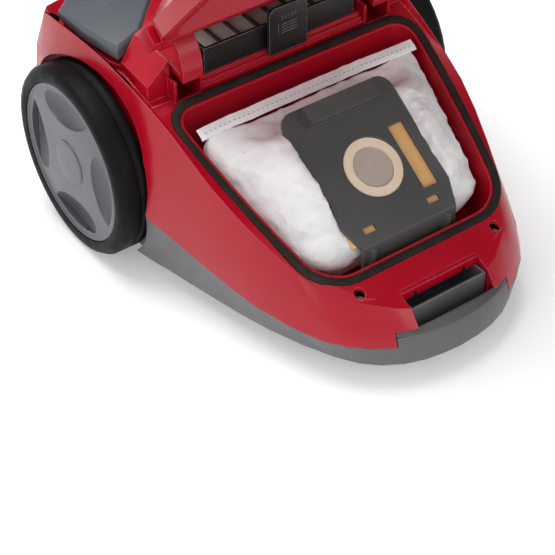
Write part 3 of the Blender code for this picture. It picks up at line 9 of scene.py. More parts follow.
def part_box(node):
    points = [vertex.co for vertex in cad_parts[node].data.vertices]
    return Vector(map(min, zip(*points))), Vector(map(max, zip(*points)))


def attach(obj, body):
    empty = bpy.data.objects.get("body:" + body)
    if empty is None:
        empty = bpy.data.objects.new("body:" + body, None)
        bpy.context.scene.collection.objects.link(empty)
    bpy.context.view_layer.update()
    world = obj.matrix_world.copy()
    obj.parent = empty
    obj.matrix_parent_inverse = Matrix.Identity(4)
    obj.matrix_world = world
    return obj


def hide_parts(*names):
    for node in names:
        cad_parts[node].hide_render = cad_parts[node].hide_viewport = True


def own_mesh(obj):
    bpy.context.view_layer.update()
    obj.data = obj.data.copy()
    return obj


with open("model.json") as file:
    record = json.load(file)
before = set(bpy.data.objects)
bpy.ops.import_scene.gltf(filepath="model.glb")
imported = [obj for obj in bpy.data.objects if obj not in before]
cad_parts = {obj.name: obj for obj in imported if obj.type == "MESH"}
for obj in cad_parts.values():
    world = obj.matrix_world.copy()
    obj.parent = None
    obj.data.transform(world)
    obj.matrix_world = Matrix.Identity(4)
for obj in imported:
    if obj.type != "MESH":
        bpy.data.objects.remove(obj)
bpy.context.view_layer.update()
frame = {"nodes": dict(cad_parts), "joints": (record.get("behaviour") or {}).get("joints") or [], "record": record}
nodes = frame["nodes"]
body_for = {}
for body, members in frame["record"]["behaviour"]["bodies"].items():
    for member in members:
        body_for[member] = body

scene = bpy.context.scene
scene.view_settings.view_transform = "Standard"
scene.view_settings.look = "None"


# ---------------------------------------------------------------- camera
lens = bpy.data.cameras.new("camera")
lens.lens = 117.6
lens.sensor_width = 36
lens.shift_x = -0.0336
lens.shift_y = -0.2436
lens.clip_start = 0.05
camera = bpy.data.objects.new("camera", lens)
scene.collection.objects.link(camera)
camera.location = (-0.68786, -0.93154, 0.96934)
aim = Vector((0, 0.0115, 0.08)) - camera.location
camera.rotation_euler = aim.to_track_quat("-Z", "Y").to_euler()
scene.camera = camera


# ---------------------------------------------------------------- node helpers
def new_material(name):
    """A material with its tree and its Principled shader."""
    material = bpy.data.materials.new(name)
    material.use_nodes = True
    tree = material.node_tree
    return material, tree, tree.nodes["Principled BSDF"]


def add(tree, kind, sockets=None, **settings):
    """A node with its settings and the values of its sockets."""
    node = tree.nodes.new(kind)
    for key, value in settings.items():
        setattr(node, key, value)
    for key, value in (sockets or {}).items():
        node.inputs[key].default_value = value
    return node


def noise_at(tree, place, scale, detail=2.0, rough=0.5, stretch=None, distortion=0.0):
    """Noise on the piece's own coordinates, stretched where a finish runs one way."""
    start = place.outputs["Object"]
    if stretch:
        mapping = add(tree, "ShaderNodeMapping", {"Scale": stretch})
        tree.links.new(start, mapping.inputs["Vector"])
        start = mapping.outputs["Vector"]
    texture = add(tree, "ShaderNodeTexNoise", {"Scale": scale, "Detail": detail, "Roughness": rough,
                                               "Distortion": distortion})
    tree.links.new(start, texture.inputs["Vector"])
    return texture.outputs["Fac"]


def spread(tree, source, low, high, out_low, out_high):
    """Maps one span of values onto another."""
    node = add(tree, "ShaderNodeMapRange", {"From Min": low, "From Max": high, "To Min": out_low,
                                            "To Max": out_high})
    tree.links.new(source, node.inputs["Value"])
    return node.outputs["Result"]


def blended(tree, factor, first, second):
    """A colour between two others; either may be a socket."""
    mix = add(tree, "ShaderNodeMix", data_type="RGBA")
    tree.links.new(factor, mix.inputs[0])
    for socket, colour in ((mix.inputs[6], first), (mix.inputs[7], second)):
        if isinstance(colour, tuple):
            socket.default_value = (*colour, 1)
        else:
            tree.links.new(colour, socket)
    return mix.outputs[2]


def total(tree, first, second, operation="ADD"):
    """Two values together."""
    node = add(tree, "ShaderNodeMath", operation=operation)
    for socket, value in ((node.inputs[0], first), (node.inputs[1], second)):
        if isinstance(value, (int, float)):
            socket.default_value = value
        else:
            tree.links.new(value, socket)
    return node.outputs[0]


def bump(tree, height, distance, strength=1.0, normal=None):
    """Relief from a height, over an earlier normal."""
    node = add(tree, "ShaderNodeBump", {"Strength": strength, "Distance": distance})
    tree.links.new(height, node.inputs["Height"])
    if normal is not None:
        tree.links.new(normal, node.inputs["Normal"])
    return node.outputs["Normal"]


def sharp_edge_nearness(tree, radius, low=0.003, high=0.10):
    """(how near a point is to a sharp edge, the normal with that edge rounded)."""
    rounded = add(tree, "ShaderNodeBevel", {"Radius": radius}, samples=6)
    surface = add(tree, "ShaderNodeNewGeometry")
    dot = add(tree, "ShaderNodeVectorMath", operation="DOT_PRODUCT")
    tree.links.new(rounded.outputs["Normal"], dot.inputs[0])
    tree.links.new(surface.outputs["Normal"], dot.inputs[1])
    away = total(tree, 1.0, dot.outputs["Value"], "SUBTRACT")
    return spread(tree, away, low, high, 0, 1), rounded.outputs["Normal"]


# ---------------------------------------------------------------- finishes
def moulded(name, colour, shade, edge, rough, spread_by, grain, depth, coat=0.0, radius=0.0008,
            specular=0.5):
    """Moulded plastic: drifting colour, fine grain, faint streaks in its roughness, and edges painted paler:
    partly wear, partly a painted highlight.
    """
    material, tree, skin = new_material(name)
    place = add(tree, "ShaderNodeTexCoord")
    drift = spread(tree, noise_at(tree, place, 16, 4, 0.6), 0.35, 0.65, 0, 1)
    body_colour = blended(tree, drift, colour, shade)
    nearness, rounded = sharp_edge_nearness(tree, radius)
    # Sharp edges painted paler in patches: partly wear, partly a painted highlight along the edges.
    edge_wear_and_highlight = total(tree, nearness, spread(tree, noise_at(tree, place, 120, 3), 0.3, 0.62, 0.25, 0.85),
                   "MULTIPLY")
    tree.links.new(blended(tree, edge_wear_and_highlight, body_colour, edge), skin.inputs["Base Color"])
    patches = spread(tree, noise_at(tree, place, 45, 5, 0.65), 0.3, 0.7, rough - spread_by,
                     rough + spread_by)
    streaks = spread(tree, noise_at(tree, place, 60, 2, 0.5, (1, 22, 3)), 0.66, 0.74, 0, 0.07)
    tree.links.new(total(tree, patches, streaks), skin.inputs["Roughness"])
    fine = noise_at(tree, place, grain, 2, 0.6)
    tree.links.new(bump(tree, fine, depth, 1, rounded), skin.inputs["Normal"])
    skin.inputs["Coat Weight"].default_value = coat
    skin.inputs["Coat Roughness"].default_value = 0.08
    skin.inputs["Specular IOR Level"].default_value = specular
    return material


# Each finish's third colour is painted on its sharp edges: partly wear, partly a painted highlight; frame_black's
# silver edge is a painted highlight.
shell_red = moulded("shell_red", (0.410, 0.0016, 0.0160), (0.375, 0.0013, 0.0135), (0.66, 0.09, 0.12),
                    0.24, 0.04, 900, 0.00002, coat=0.06, radius=0.0010, specular=0.38)
inner_red = moulded("inner_red", (0.430, 0.0022, 0.0160), (0.385, 0.0018, 0.0130), (0.62, 0.07, 0.10),
                    0.33, 0.05, 900, 0.00003, coat=0.05, radius=0.0009, specular=0.40)
chassis_grey = moulded("chassis_grey", (0.108, 0.110, 0.116), (0.094, 0.096, 0.101),
                       (0.27, 0.28, 0.29), 0.42, 0.06, 1500, 0.00005, radius=0.0008)
pedal_slate = moulded("pedal_slate", (0.078, 0.090, 0.104), (0.070, 0.081, 0.094),
                      (0.26, 0.28, 0.30), 0.40, 0.05, 1500, 0.00004, radius=0.0009)
hub_slate = moulded("hub_slate", (0.088, 0.096, 0.107), (0.078, 0.086, 0.096), (0.24, 0.26, 0.28),
                    0.36, 0.05, 1300, 0.00003, radius=0.0008)
frame_black = moulded("frame_black", (0.010, 0.011, 0.011), (0.015, 0.015, 0.016),
                      (0.50, 0.51, 0.51), 0.30, 0.05, 1300, 0.00003, coat=0.1, radius=0.0006)
grained_charcoal = moulded("grained_charcoal", (0.078, 0.078, 0.077), (0.066, 0.066, 0.066),
                           (0.17, 0.175, 0.18), 0.46, 0.06, 1700, 0.00016, radius=0.0007)


def tyre_rubber(name, colour, pale, rough, grain, depth):
    """Rubber: matt, dusty in patches, with a fine pitted grain."""
    material, tree, skin = new_material(name)
    place = add(tree, "ShaderNodeTexCoord")
    dust = spread(tree, noise_at(tree, place, 26, 6, 0.7), 0.42, 0.72, 0, 0.5)
    nearness, rounded = sharp_edge_nearness(tree, 0.0009)
    dusty = blended(tree, dust, colour, pale)
    tree.links.new(blended(tree, total(tree, nearness, 0.35, "MULTIPLY"), dusty, pale),
                   skin.inputs["Base Color"])
    tree.links.new(spread(tree, noise_at(tree, place, 90, 4), 0.3, 0.7, rough - 0.08, rough + 0.08),
                   skin.inputs["Roughness"])
    pits = noise_at(tree, place, grain, 3, 0.7)
    tree.links.new(bump(tree, pits, depth, 1, rounded), skin.inputs["Normal"])
    skin.inputs["Specular IOR Level"].default_value = 0.10
    return material


wheel_rubber = tyre_rubber("wheel_rubber", (0.0040, 0.0040, 0.0041), (0.012, 0.012, 0.012), 0.50, 1400,
                           0.00012)
seal_rubber = tyre_rubber("seal_rubber", (0.020, 0.015, 0.012), (0.050, 0.040, 0.034), 0.66, 1900,
                          0.00010)


def metal(name, colour, rough, stretch, scale=240):
    """Bare metal, drawn or turned one way."""
    material, tree, skin = new_material(name)
    place = add(tree, "ShaderNodeTexCoord")
    lines = noise_at(tree, place, scale, 4, 0.6, stretch)
    shade = tuple(0.72 * value for value in colour)
    tree.links.new(blended(tree, spread(tree, lines, 0.35, 0.7, 0, 1), colour, shade),
                   skin.inputs["Base Color"])
    tree.links.new(spread(tree, lines, 0.3, 0.7, rough, rough + 0.16), skin.inputs["Roughness"])
    nearness, rounded = sharp_edge_nearness(tree, 0.0004)
    tree.links.new(bump(tree, lines, 0.00003, 1, rounded), skin.inputs["Normal"])
    skin.inputs["Metallic"].default_value = 1.0
    return material


turned_steel = metal("turned_steel", (0.60, 0.60, 0.59), 0.26, (14, 1, 1))
wound_copper = metal("wound_copper", (0.80, 0.42, 0.22), 0.30, (1, 30, 1), 300)


def fibrous(name, colour, shade, fleck, rough, scale, depth, sheen=0.0):
    """Paper, card, felt or gauze: mottled, with short fibres."""
    material, tree, skin = new_material(name)
    place = add(tree, "ShaderNodeTexCoord")
    mottle = spread(tree, noise_at(tree, place, scale * 0.2, 5, 0.7), 0.35, 0.68, 0, 1)
    fibres = noise_at(tree, place, scale, 6, 0.75, (1, 2.6, 1), 0.6)
    base = blended(tree, mottle, colour, shade)
    tree.links.new(blended(tree, spread(tree, fibres, 0.60, 0.72, 0, 0.7), base, fleck),
                   skin.inputs["Base Color"])
    tree.links.new(spread(tree, mottle, 0, 1, rough - 0.05, rough + 0.05), skin.inputs["Roughness"])
    tree.links.new(bump(tree, fibres, depth), skin.inputs["Normal"])
    skin.inputs["Sheen Weight"].default_value = sheen
    skin.inputs["Specular IOR Level"].default_value = 0.25
    return material


holder_card = fibrous("holder_card", (0.820, 0.500, 0.220), (0.740, 0.430, 0.175),
                      (0.60, 0.33, 0.13), 0.80, 620, 0.00010)
seal_cream = fibrous("seal_cream", (0.860, 0.730, 0.560), (0.820, 0.680, 0.500), (0.90, 0.80, 0.66),
                     0.62, 420, 0.00005)
gauze_grey = fibrous("gauze_grey", (0.500, 0.435, 0.370), (0.440, 0.380, 0.320), (0.60, 0.53, 0.46),
                     0.75, 900, 0.00010)
pleat_paper = fibrous("pleat_paper", (0.740, 0.660, 0.610), (0.640, 0.560, 0.520),
                      (0.80, 0.74, 0.70), 0.85, 800, 0.00008)
filter_felt = fibrous("filter_felt", (0.45, 0.46, 0.47), (0.38, 0.39, 0.40), (0.55, 0.56, 0.57),
                      0.90, 500, 0.00030, 0.2)
board_green = fibrous("board_green", (0.020, 0.120, 0.045), (0.015, 0.095, 0.036),
                      (0.10, 0.24, 0.10), 0.45, 300, 0.00004)


def bag_fleece():
    """White bonded fleece: soft folds with painted shade in their hollows, rows of pressed dots and loose fibres.
    """
    material, tree, skin = new_material("bag_fleece")
    place = add(tree, "ShaderNodeTexCoord")
    folds = noise_at(tree, place, 26, 5, 0.62, (1, 1, 1.6), 0.7)
    # Painted shade: the fleece is darker where its folds run low and lighter on their crests.
    fold_hollow_shade = spread(tree, folds, 0.34, 0.62, 0, 1)
    fibres = noise_at(tree, place, 1100, 5, 0.7, (1, 2.2, 1), 0.8)
    base = blended(tree, fold_hollow_shade, (0.780, 0.780, 0.792), (0.875, 0.873, 0.870))
    tree.links.new(blended(tree, spread(tree, fibres, 0.62, 0.75, 0, 0.35), base, (0.70, 0.70, 0.71)),
                   skin.inputs["Base Color"])
    dots = add(tree, "ShaderNodeTexVoronoi", {"Scale": 190.0, "Randomness": 0.25})
    tree.links.new(place.outputs["Object"], dots.inputs["Vector"])
    pressed = spread(tree, dots.outputs["Distance"], 0.10, 0.30, 0, 1)
    patch = spread(tree, noise_at(tree, place, 34, 3), 0.54, 0.62, 0, 1)
    dimples = total(tree, total(tree, pressed, 1.0, "SUBTRACT"), patch, "MULTIPLY")
    relief = bump(tree, folds, 0.0028, 0.8)
    relief = bump(tree, dimples, 0.0006, 0.8, relief)
    tree.links.new(bump(tree, fibres, 0.00016, 1, relief), skin.inputs["Normal"])
    tree.links.new(spread(tree, folds, 0.3, 0.7, 0.84, 0.95), skin.inputs["Roughness"])
    skin.inputs["Sheen Weight"].default_value = 0.25
    skin.inputs["Specular IOR Level"].default_value = 0.2
    return material


fleece = bag_fleece()
stitch_thread = fibrous("stitch_thread", (0.33, 0.33, 0.34), (0.27, 0.27, 0.28), (0.45, 0.45, 0.46),
                        0.80, 1500, 0.00004, 0.2)

FINISH = {
    "red_gloss": shell_red, "base_grey": chassis_grey, "slate_grey": pedal_slate,
    "hub_grey": hub_slate, "black_satin": frame_black, "charcoal": grained_charcoal,
    "rubber": wheel_rubber, "steel": turned_steel, "copper": wound_copper, "card": holder_card,
    "cream_seal": seal_cream, "membrane": gauze_grey, "fleece": fleece, "pleats": pleat_paper,
    "filter_foam": filter_felt, "board_green": board_green}
slot_of = {}
for name, node in nodes.items():
    slot_of[name] = node.data.materials[0].name.split(".")[0]
    finish = FINISH[slot_of[name]]
    if name in ("dust_chamber", "lid_liner", "filter_tray"):
        finish = inner_red
    if name in ("lid_seal", "port_gasket"):
        finish = seal_rubber
    for place in node.material_slots:
        place.material = finish


# ---------------------------------------------------------------- modelling helpers
def nothing_selected():
    bpy.ops.object.select_all(action="DESELECT")


def only(piece):
    """Selects one piece and makes it the active one."""
    nothing_selected()
    piece.select_set(True)
    bpy.context.view_layer.objects.active = piece
    return piece


def primitive(kind, **size):
    """A new primitive, selected on its own."""
    nothing_selected()
    getattr(bpy.ops.mesh, "primitive_" + kind + "_add")(**size)
    return bpy.context.active_object


def settle(piece):
    """Puts a piece's place, turn and size into its mesh."""
    only(piece)
    bpy.ops.object.transform_apply(location=True, rotation=True, scale=True)
    return piece


def apply_modifier(piece, kind, **settings):
    """Adds a modifier to a piece and applies it."""
    only(piece)
    modifier = piece.modifiers.new(kind.lower(), kind)
    for key, value in settings.items():
        setattr(modifier, key, value)
    bpy.ops.object.modifier_apply(modifier=modifier.name)


def softened(piece, width, segments=2, angle=32):
    """Rounds a piece's sharp edges."""
    apply_modifier(piece, "BEVEL", width=width, segments=segments, limit_method="ANGLE",
                   angle_limit=radians(angle), use_clamp_overlap=True, harden_normals=False)


def smooth(piece, angle=35):
    only(piece)
    bpy.ops.object.shade_smooth_by_angle(angle=radians(angle))


def object_mode():
    bpy.ops.object.mode_set(mode="OBJECT")


def edit_all():
    """Opens the active piece for editing, with all of it selected."""
    bpy.ops.object.mode_set(mode="EDIT")
    bpy.ops.mesh.select_all(action="SELECT")


def pick_faces(piece, wanted):
    """Selects a piece's faces, in edit mode, by their centre and normal."""
    only(piece)
    bpy.ops.object.mode_set(mode="EDIT")
    bpy.ops.mesh.select_mode(type="FACE")
    bpy.ops.mesh.select_all(action="DESELECT")
    object_mode()
    for face in piece.data.polygons:
        face.select = wanted(face.center, face.normal)
    bpy.ops.object.mode_set(mode="EDIT")


def finish_piece(piece, name, material, body, slot, *stands_for):
    """Names a piece, gives it its finish, sets what it moves with, and hides the parts it stands for."""
    piece.name = name
    piece.data.name = name
    piece.data.materials.clear()
    piece.data.materials.append(material)
    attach(piece, body)
    if stands_for:
        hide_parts(*stands_for)
    return piece


def joined(pieces):
    """Several pieces as one."""
    nothing_selected()
    for piece in pieces:
        piece.select_set(True)
    bpy.context.view_layer.objects.active = pieces[0]
    bpy.ops.object.join()
    return bpy.context.active_object


def cut_with(piece, cutter, operation="DIFFERENCE"):
    """Cuts a piece with another, which is then removed."""
    apply_modifier(piece, "BOOLEAN", object=cutter, operation=operation, solver="EXACT")
    bpy.data.objects.remove(cutter)


def from_cad(node):
    """A merged copy of a CAD part, to be worked on."""
    only(nodes[node])
    bpy.ops.object.duplicate()
    piece = bpy.context.active_object
    piece.parent = None
    for key in list(piece.keys()):
        del piece[key]
    edit_all()
    bpy.ops.mesh.remove_doubles(threshold=0.000005)
    object_mode()
    return piece


def moulding(node, edge=0.0, angle=35, segments=2, flatten=True):
    """A CAD part with soft edges and smooth curved faces, in its place."""
    piece = from_cad(node)
    if flatten:
        edit_all()
        bpy.ops.mesh.dissolve_limited(angle_limit=radians(0.6))
        object_mode()
    if edge:
        softened(piece, edge, segments)
    smooth(piece, angle)
    apply_modifier(piece, "WEIGHTED_NORMAL", keep_sharp=True, weight=50)
    material = nodes[node].material_slots[0].material
    return finish_piece(piece, node + "_moulding", material, body_for[node], slot_of[node], node)


def flowing(piece, reach, within, spacing=0.0032):
    """Shades a lofted wall as one flowing surface, and keeps its real edges sharp."""
    mesh = piece.data
    points, facings = [], []
    for face in mesh.polygons:
        corners = [mesh.vertices[index].co for index in face.vertices]
        count = max(1, int(face.area / spacing ** 2))
        for k in range(count):
            u, v = (0.5 + 0.7548776662 * k) % 1, (0.5 + 0.5698402910 * k) % 1
            if u + v > 1:
                u, v = 1 - u, 1 - v
            points.append(corners[0] + u * (corners[1] - corners[0]) + v * (corners[2] - corners[0]))
            facings.append(face.normal.copy())
    field = KDTree(len(points))
    for k, point in enumerate(points):
        field.insert(point, k)
    field.balance()
    least = cos(radians(within))
    shading = []
    for face in mesh.polygons:
        for index in face.vertices:
            middle = mesh.vertices[index].co
            sum_of = face.normal * 0.001
            for _, k, distance in field.find_range(middle, reach):
                facing = facings[k]
                if facing.dot(face.normal) > least:
                    sum_of = sum_of + facing * (1 - distance / reach)
            shading.append(sum_of.normalized())
    mesh.polygons.foreach_set("use_smooth", [True] * len(mesh.polygons))
    mesh.normals_split_custom_set(shading)


def flowing_moulding(node, reach=0.014, within=30):
    """A lofted CAD part, shaded as one flowing surface."""
    piece = from_cad(node)
    flowing(piece, reach, within)
    material = nodes[node].material_slots[0].material
    return finish_piece(piece, node + "_moulding", material, body_for[node], slot_of[node], node)


# ---------------------------------------------------------------- shells and other mouldings
for node in ("top_shell", "base_shell", "lid_shell"):
    flowing_moulding(node)
for node in ("dust_chamber", "lid_liner", "recess_liner"):
    flowing_moulding(node, 0.008, 26)
for node in ("lid_seal", "hose_port", "port_gasket", "wheel_left_tyre", "wheel_right_tyre",
             "caster_roller", "caster_fork", "inlet_ring", "inlet_membrane", "suction_dial",
             "cord_gland", "deck_screw_left", "deck_screw_right", "hinge_pin_left",
             "hinge_pin_right"):
    moulding(node, flatten=False)
for node, edge in (("hinge_arm_left", 0.0007), ("hinge_arm_right", 0.0007), ("front_grip", 0.0008),
                   ("bag_holder", 0.0006), ("filter_tray", 0.0005), ("latch_strike", 0.0003),
                   ("lid_latch", 0.0008), ("exhaust_grille", 0.0003), ("filter_frame", 0.0004)):
    moulding(node, edge)


# ---------------------------------------------------------------- wheels
low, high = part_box("wheel_left_tyre")
WHEEL_Y = (low[1] + high[1]) / 2
WHEEL_Z = (low[2] + high[2]) / 2
DISC_RADIUS = (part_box("wheel_left_disc")[1][2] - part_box("wheel_left_disc")[0][2]) / 2
DISC_FACE_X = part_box("wheel_right_disc")[1][0]
DISC_BACK_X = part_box("wheel_right_disc")[0][0]
CAP_RADIUS = 0.0205
SCOOPS = 4
SCOOP_SIZE = (0.0105, 0.0350, 0.0175)
SCOOP_TILT = -14
SCOOP_RADIUS = 0.0530
SCOOP_LIMIT = 0.0618


def hub_disc(side, word):
    """A dished disc with a rolled rim, four scooped pockets and a ring groove round its cap."""
    depth = DISC_FACE_X - DISC_BACK_X - 0.0006
    middle = side * (DISC_BACK_X + depth / 2)
    disc = primitive("cylinder", vertices=128, radius=DISC_RADIUS - 0.0001, depth=depth,
                     location=(middle, WHEEL_Y, WHEEL_Z), rotation=(0, pi / 2, 0))
    settle(disc)
    pick_faces(disc, lambda centre, normal: normal.x * side > 0.9)
    for thickness, rise in ((0.0012, 0.0), (0.0010, -0.0010), (0.0014, -0.0006), (0.0060, 0.0008),
                            (0.0260, 0.0012)):
        bpy.ops.mesh.inset(thickness=thickness, depth=rise)
    object_mode()
    softened(disc, 0.0006, 2, 28)
    scoops = []
    for k in range(SCOOPS):
        scoop = primitive("uv_sphere", segments=64, ring_count=40, radius=1)
        scoop.scale = SCOOP_SIZE
        scoop.rotation_euler = (radians(SCOOP_TILT), 0, 0)
        scoop.location = (0, 0, SCOOP_RADIUS)
        settle(scoop)
        within_rim = primitive("cylinder", vertices=128, radius=SCOOP_LIMIT, depth=0.06,
                               rotation=(0, pi / 2, 0))
        cut_with(scoop, settle(within_rim), "INTERSECT")
        scoop.matrix_world = (Matrix.Translation((side * (DISC_FACE_X + 0.0010), WHEEL_Y, WHEEL_Z))
                              @ Matrix.Rotation(2 * pi * k / SCOOPS, 4, "X"))
        scoops.append(settle(scoop))
    cut_with(disc, joined(scoops))
    groove = primitive("torus", major_radius=CAP_RADIUS, minor_radius=0.0005, major_segments=96,
                       minor_segments=10, location=(side * (DISC_FACE_X + 0.0001), WHEEL_Y, WHEEL_Z),
                       rotation=(0, pi / 2, 0))
    cut_with(disc, settle(groove))
    smooth(disc, 30)
    finish_piece(disc, "hub_disc_" + word, hub_slate, word + "_wheel", "hub_grey",
                 "wheel_%s_disc" % word)
    cap = primitive("cylinder", vertices=96, radius=CAP_RADIUS - 0.0007, depth=0.0040,
                    location=(side * (DISC_FACE_X - 0.0014), WHEEL_Y, WHEEL_Z),
                    rotation=(0, pi / 2, 0))
    settle(cap)
    pick_faces(cap, lambda centre, normal: normal.x * side > 0.9)
    for thickness, rise in ((0.0060, 0.0001), (0.0060, 0.0001)):
        bpy.ops.mesh.inset(thickness=thickness, depth=rise)
    object_mode()
    softened(cap, 0.0004, 3, 40)
    smooth(cap, 30)
    finish_piece(cap, "hub_cap_" + word, hub_slate, word + "_wheel", "hub_grey",
                 "wheel_%s_cap" % word)


hub_disc(-1, "left")
hub_disc(1, "right")


# ---------------------------------------------------------------- pedals
PEDAL_SLOPE = 0.14
PEDAL_INNER_X = 0.069
PEDAL_INNER_Z = 0.1965
MARK_X = 0.1010
MARK_Y = 0.1290


def pedal(side, word):
    """A sloping pedal with a wide soft edge, and a raised ring and bar near its rear."""
    piece = from_cad("pedal_" + word)
    edit_all()
    bpy.ops.mesh.dissolve_limited(angle_limit=radians(1))
    object_mode()
    softened(piece, 0.0009, 3, 20)
    smooth(piece, 40)
    finish_piece(piece, "pedal_plate_" + word, pedal_slate, body_for["pedal_" + word], "slate_grey",
                 "pedal_" + word)
    z = PEDAL_INNER_Z - PEDAL_SLOPE * (MARK_X - PEDAL_INNER_X)
    lie = (Matrix.Translation((side * MARK_X, MARK_Y, z))
           @ Matrix.Rotation(side * PEDAL_SLOPE, 4, "Y"))
    marks = []
    for major, minor in ((0.0120, 0.0004), (0.0055, 0.0004)):
        ring = primitive("torus", major_radius=major, minor_radius=minor, major_segments=72,
                         minor_segments=8)
        ring.matrix_world = lie
        marks.append(settle(ring))
    bar = primitive("cylinder", vertices=16, radius=0.0005, depth=0.0070, location=(0, 0, 0),
                    rotation=(pi / 2, 0, 0))
    settle(bar)
    softened(bar, 0.0002, 2, 40)
    bar.matrix_world = lie @ Matrix.Translation((0, 0.0050, 0))
    marks.append(settle(bar))
    mark = joined(marks)
    smooth(mark, 40)
    finish_piece(mark, "pedal_mark_" + word, pedal_slate, body_for["pedal_" + word], "slate_grey")


pedal(-1, "power")
pedal(1, "rewind")


SPRING_WIRE = 0.00045
SPRING_TURNS = 3.5


def pedal_spring(word):
    """The coil spring under a pedal."""
    low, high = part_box("pedal_spring_" + word)
    middle = ((low[0] + high[0]) / 2, (low[1] + high[1]) / 2)
    radius = (high[0] - low[0]) / 2 - SPRING_WIRE
    nothing_selected()
    bpy.ops.mesh.primitive_circle_add(vertices=8, radius=SPRING_WIRE, fill_type="NOTHING",
                                      location=(radius, 0, SPRING_WIRE), rotation=(pi / 2, 0, 0))
    coil = settle(bpy.context.active_object)
    apply_modifier(coil, "SCREW", axis="Z", angle=2 * pi * SPRING_TURNS, steps=84, render_steps=84,
                   screw_offset=high[2] - low[2] - 2 * SPRING_WIRE, use_merge_vertices=False)
    edit_all()
    bpy.ops.mesh.fill_holes(sides=12)
    bpy.ops.mesh.select_all(action="SELECT")
    bpy.ops.mesh.normals_make_consistent(inside=False)
    object_mode()
    coil.location = (middle[0], middle[1], low[2])
    settle(coil)
    smooth(coil, 60)
    finish_piece(coil, "pedal_coil_" + word, turned_steel, body_for["pedal_spring_" + word], "steel",
                 "pedal_spring_" + word)
    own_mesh(coil)


pedal_spring("power")
pedal_spring("rewind")


# ---------------------------------------------------------------- filter pleats
FOLDS = 54
FOLD_HEIGHT = 0.0032


def folded_paper():
    """The filter's folded paper, one narrow fold after another along its length."""
    low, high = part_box("filter_pleats")
    width = high[0] - low[0] - 0.0004
    deep = high[1] - low[1] - 0.0004
    centre = ((low[0] + high[0]) / 2, (low[1] + high[1]) / 2)
    crest = high[2] - 0.0001
    paper = primitive("grid", x_subdivisions=2 * FOLDS, y_subdivisions=3, size=1)
    paper.scale = (width, deep, 1)
    paper.location = (centre[0], centre[1], crest - FOLD_HEIGHT)
    settle(paper)
    pitch = width / (2 * FOLDS)
    only(paper)
    bpy.ops.object.mode_set(mode="EDIT")
    bpy.ops.mesh.select_mode(type="VERT")
    bpy.ops.mesh.select_all(action="DESELECT")
    object_mode()
    for vertex in paper.data.vertices:
        vertex.select = round((vertex.co.x - centre[0] + width / 2) / pitch) % 2 == 1
    bpy.ops.object.mode_set(mode="EDIT")
    bpy.ops.transform.translate(value=(0, 0, FOLD_HEIGHT))
    object_mode()
    for vertex in paper.data.vertices:
        column = round((vertex.co.x - centre[0] + width / 2) / pitch)
        vertex.co.z += 0.0004 * noise.noise(Vector((column * 0.37, vertex.co.y * 90, 3.1))) - 0.0002
        vertex.co.x += 0.00022 * noise.noise(Vector((column * 0.61, vertex.co.y * 60, 8.4)))
    apply_modifier(paper, "SOLIDIFY", thickness=0.00035, offset=-1)
    smooth(paper, 20)
    base = primitive("cube", size=1)
    base.scale = (width, deep, crest - 0.0036 - low[2] - 0.0002)
    base.location = (centre[0], centre[1], (crest - 0.0036 + low[2]) / 2)
    settle(base)
    softened(base, 0.0006, 2)
    smooth(base, 40)
    finish_piece(joined([paper, base]), "folded_filter_paper", pleat_paper, "filter_cassette",
                 "pleats", "filter_pleats")


folded_paper()


# ---------------------------------------------------------------- dust bag
hinge = next(joint for joint in frame["joints"] if joint["name"] == "lid_hinge")
HINGE = Vector(hinge["pos_m"])
SHUTTING = (Matrix.Translation(HINGE)
            @ Matrix.Rotation(radians(hinge["range_deg"][0]), 4, Vector(hinge["axis"]))
            @ Matrix.Translation(-HINGE))


def tree_of(*names, lid_shut=()):
    """The surfaces of some parts, and of others as they stand with the lid shut."""
    points, faces = [], []
    for name in names + tuple(lid_shut):
        mesh = nodes[name].data
        start = len(points)
        place = SHUTTING if name in lid_shut else Matrix.Identity(4)
        points += [place @ vertex.co for vertex in mesh.vertices]
        faces += [[start + index for index in face.vertices] for face in mesh.polygons]
    return BVHTree.FromPolygons(points, faces)


SEAM_HALF = 0.1040
SEAM_TILT = 0.4676
SEAM_REACH = 0.030
VOXEL, ROUGH_VOXEL = 0.0045, 0.006
CLOTH_STEPS = 20
PUFF_MOST = 0.0055
FOLD_MOST = 0.0022


def seam_point(x, back):
    """A point on the seam's upper face, back metres in front of its rear edge."""
    low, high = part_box("dust_bag")
    wave = 0.0006 * noise.noise(Vector((x * 38, 2.2, 0.4))) + 0.0003 * noise.noise(Vector((x * 130, 5, 1)))
    y = high[1] + 0.0006 - back + 0.4 * wave
    z = high[2] + 0.0012 - SEAM_TILT * back - 0.0016 * (abs(x) / SEAM_HALF) ** 4 + wave
    return Vector((x, y, z))


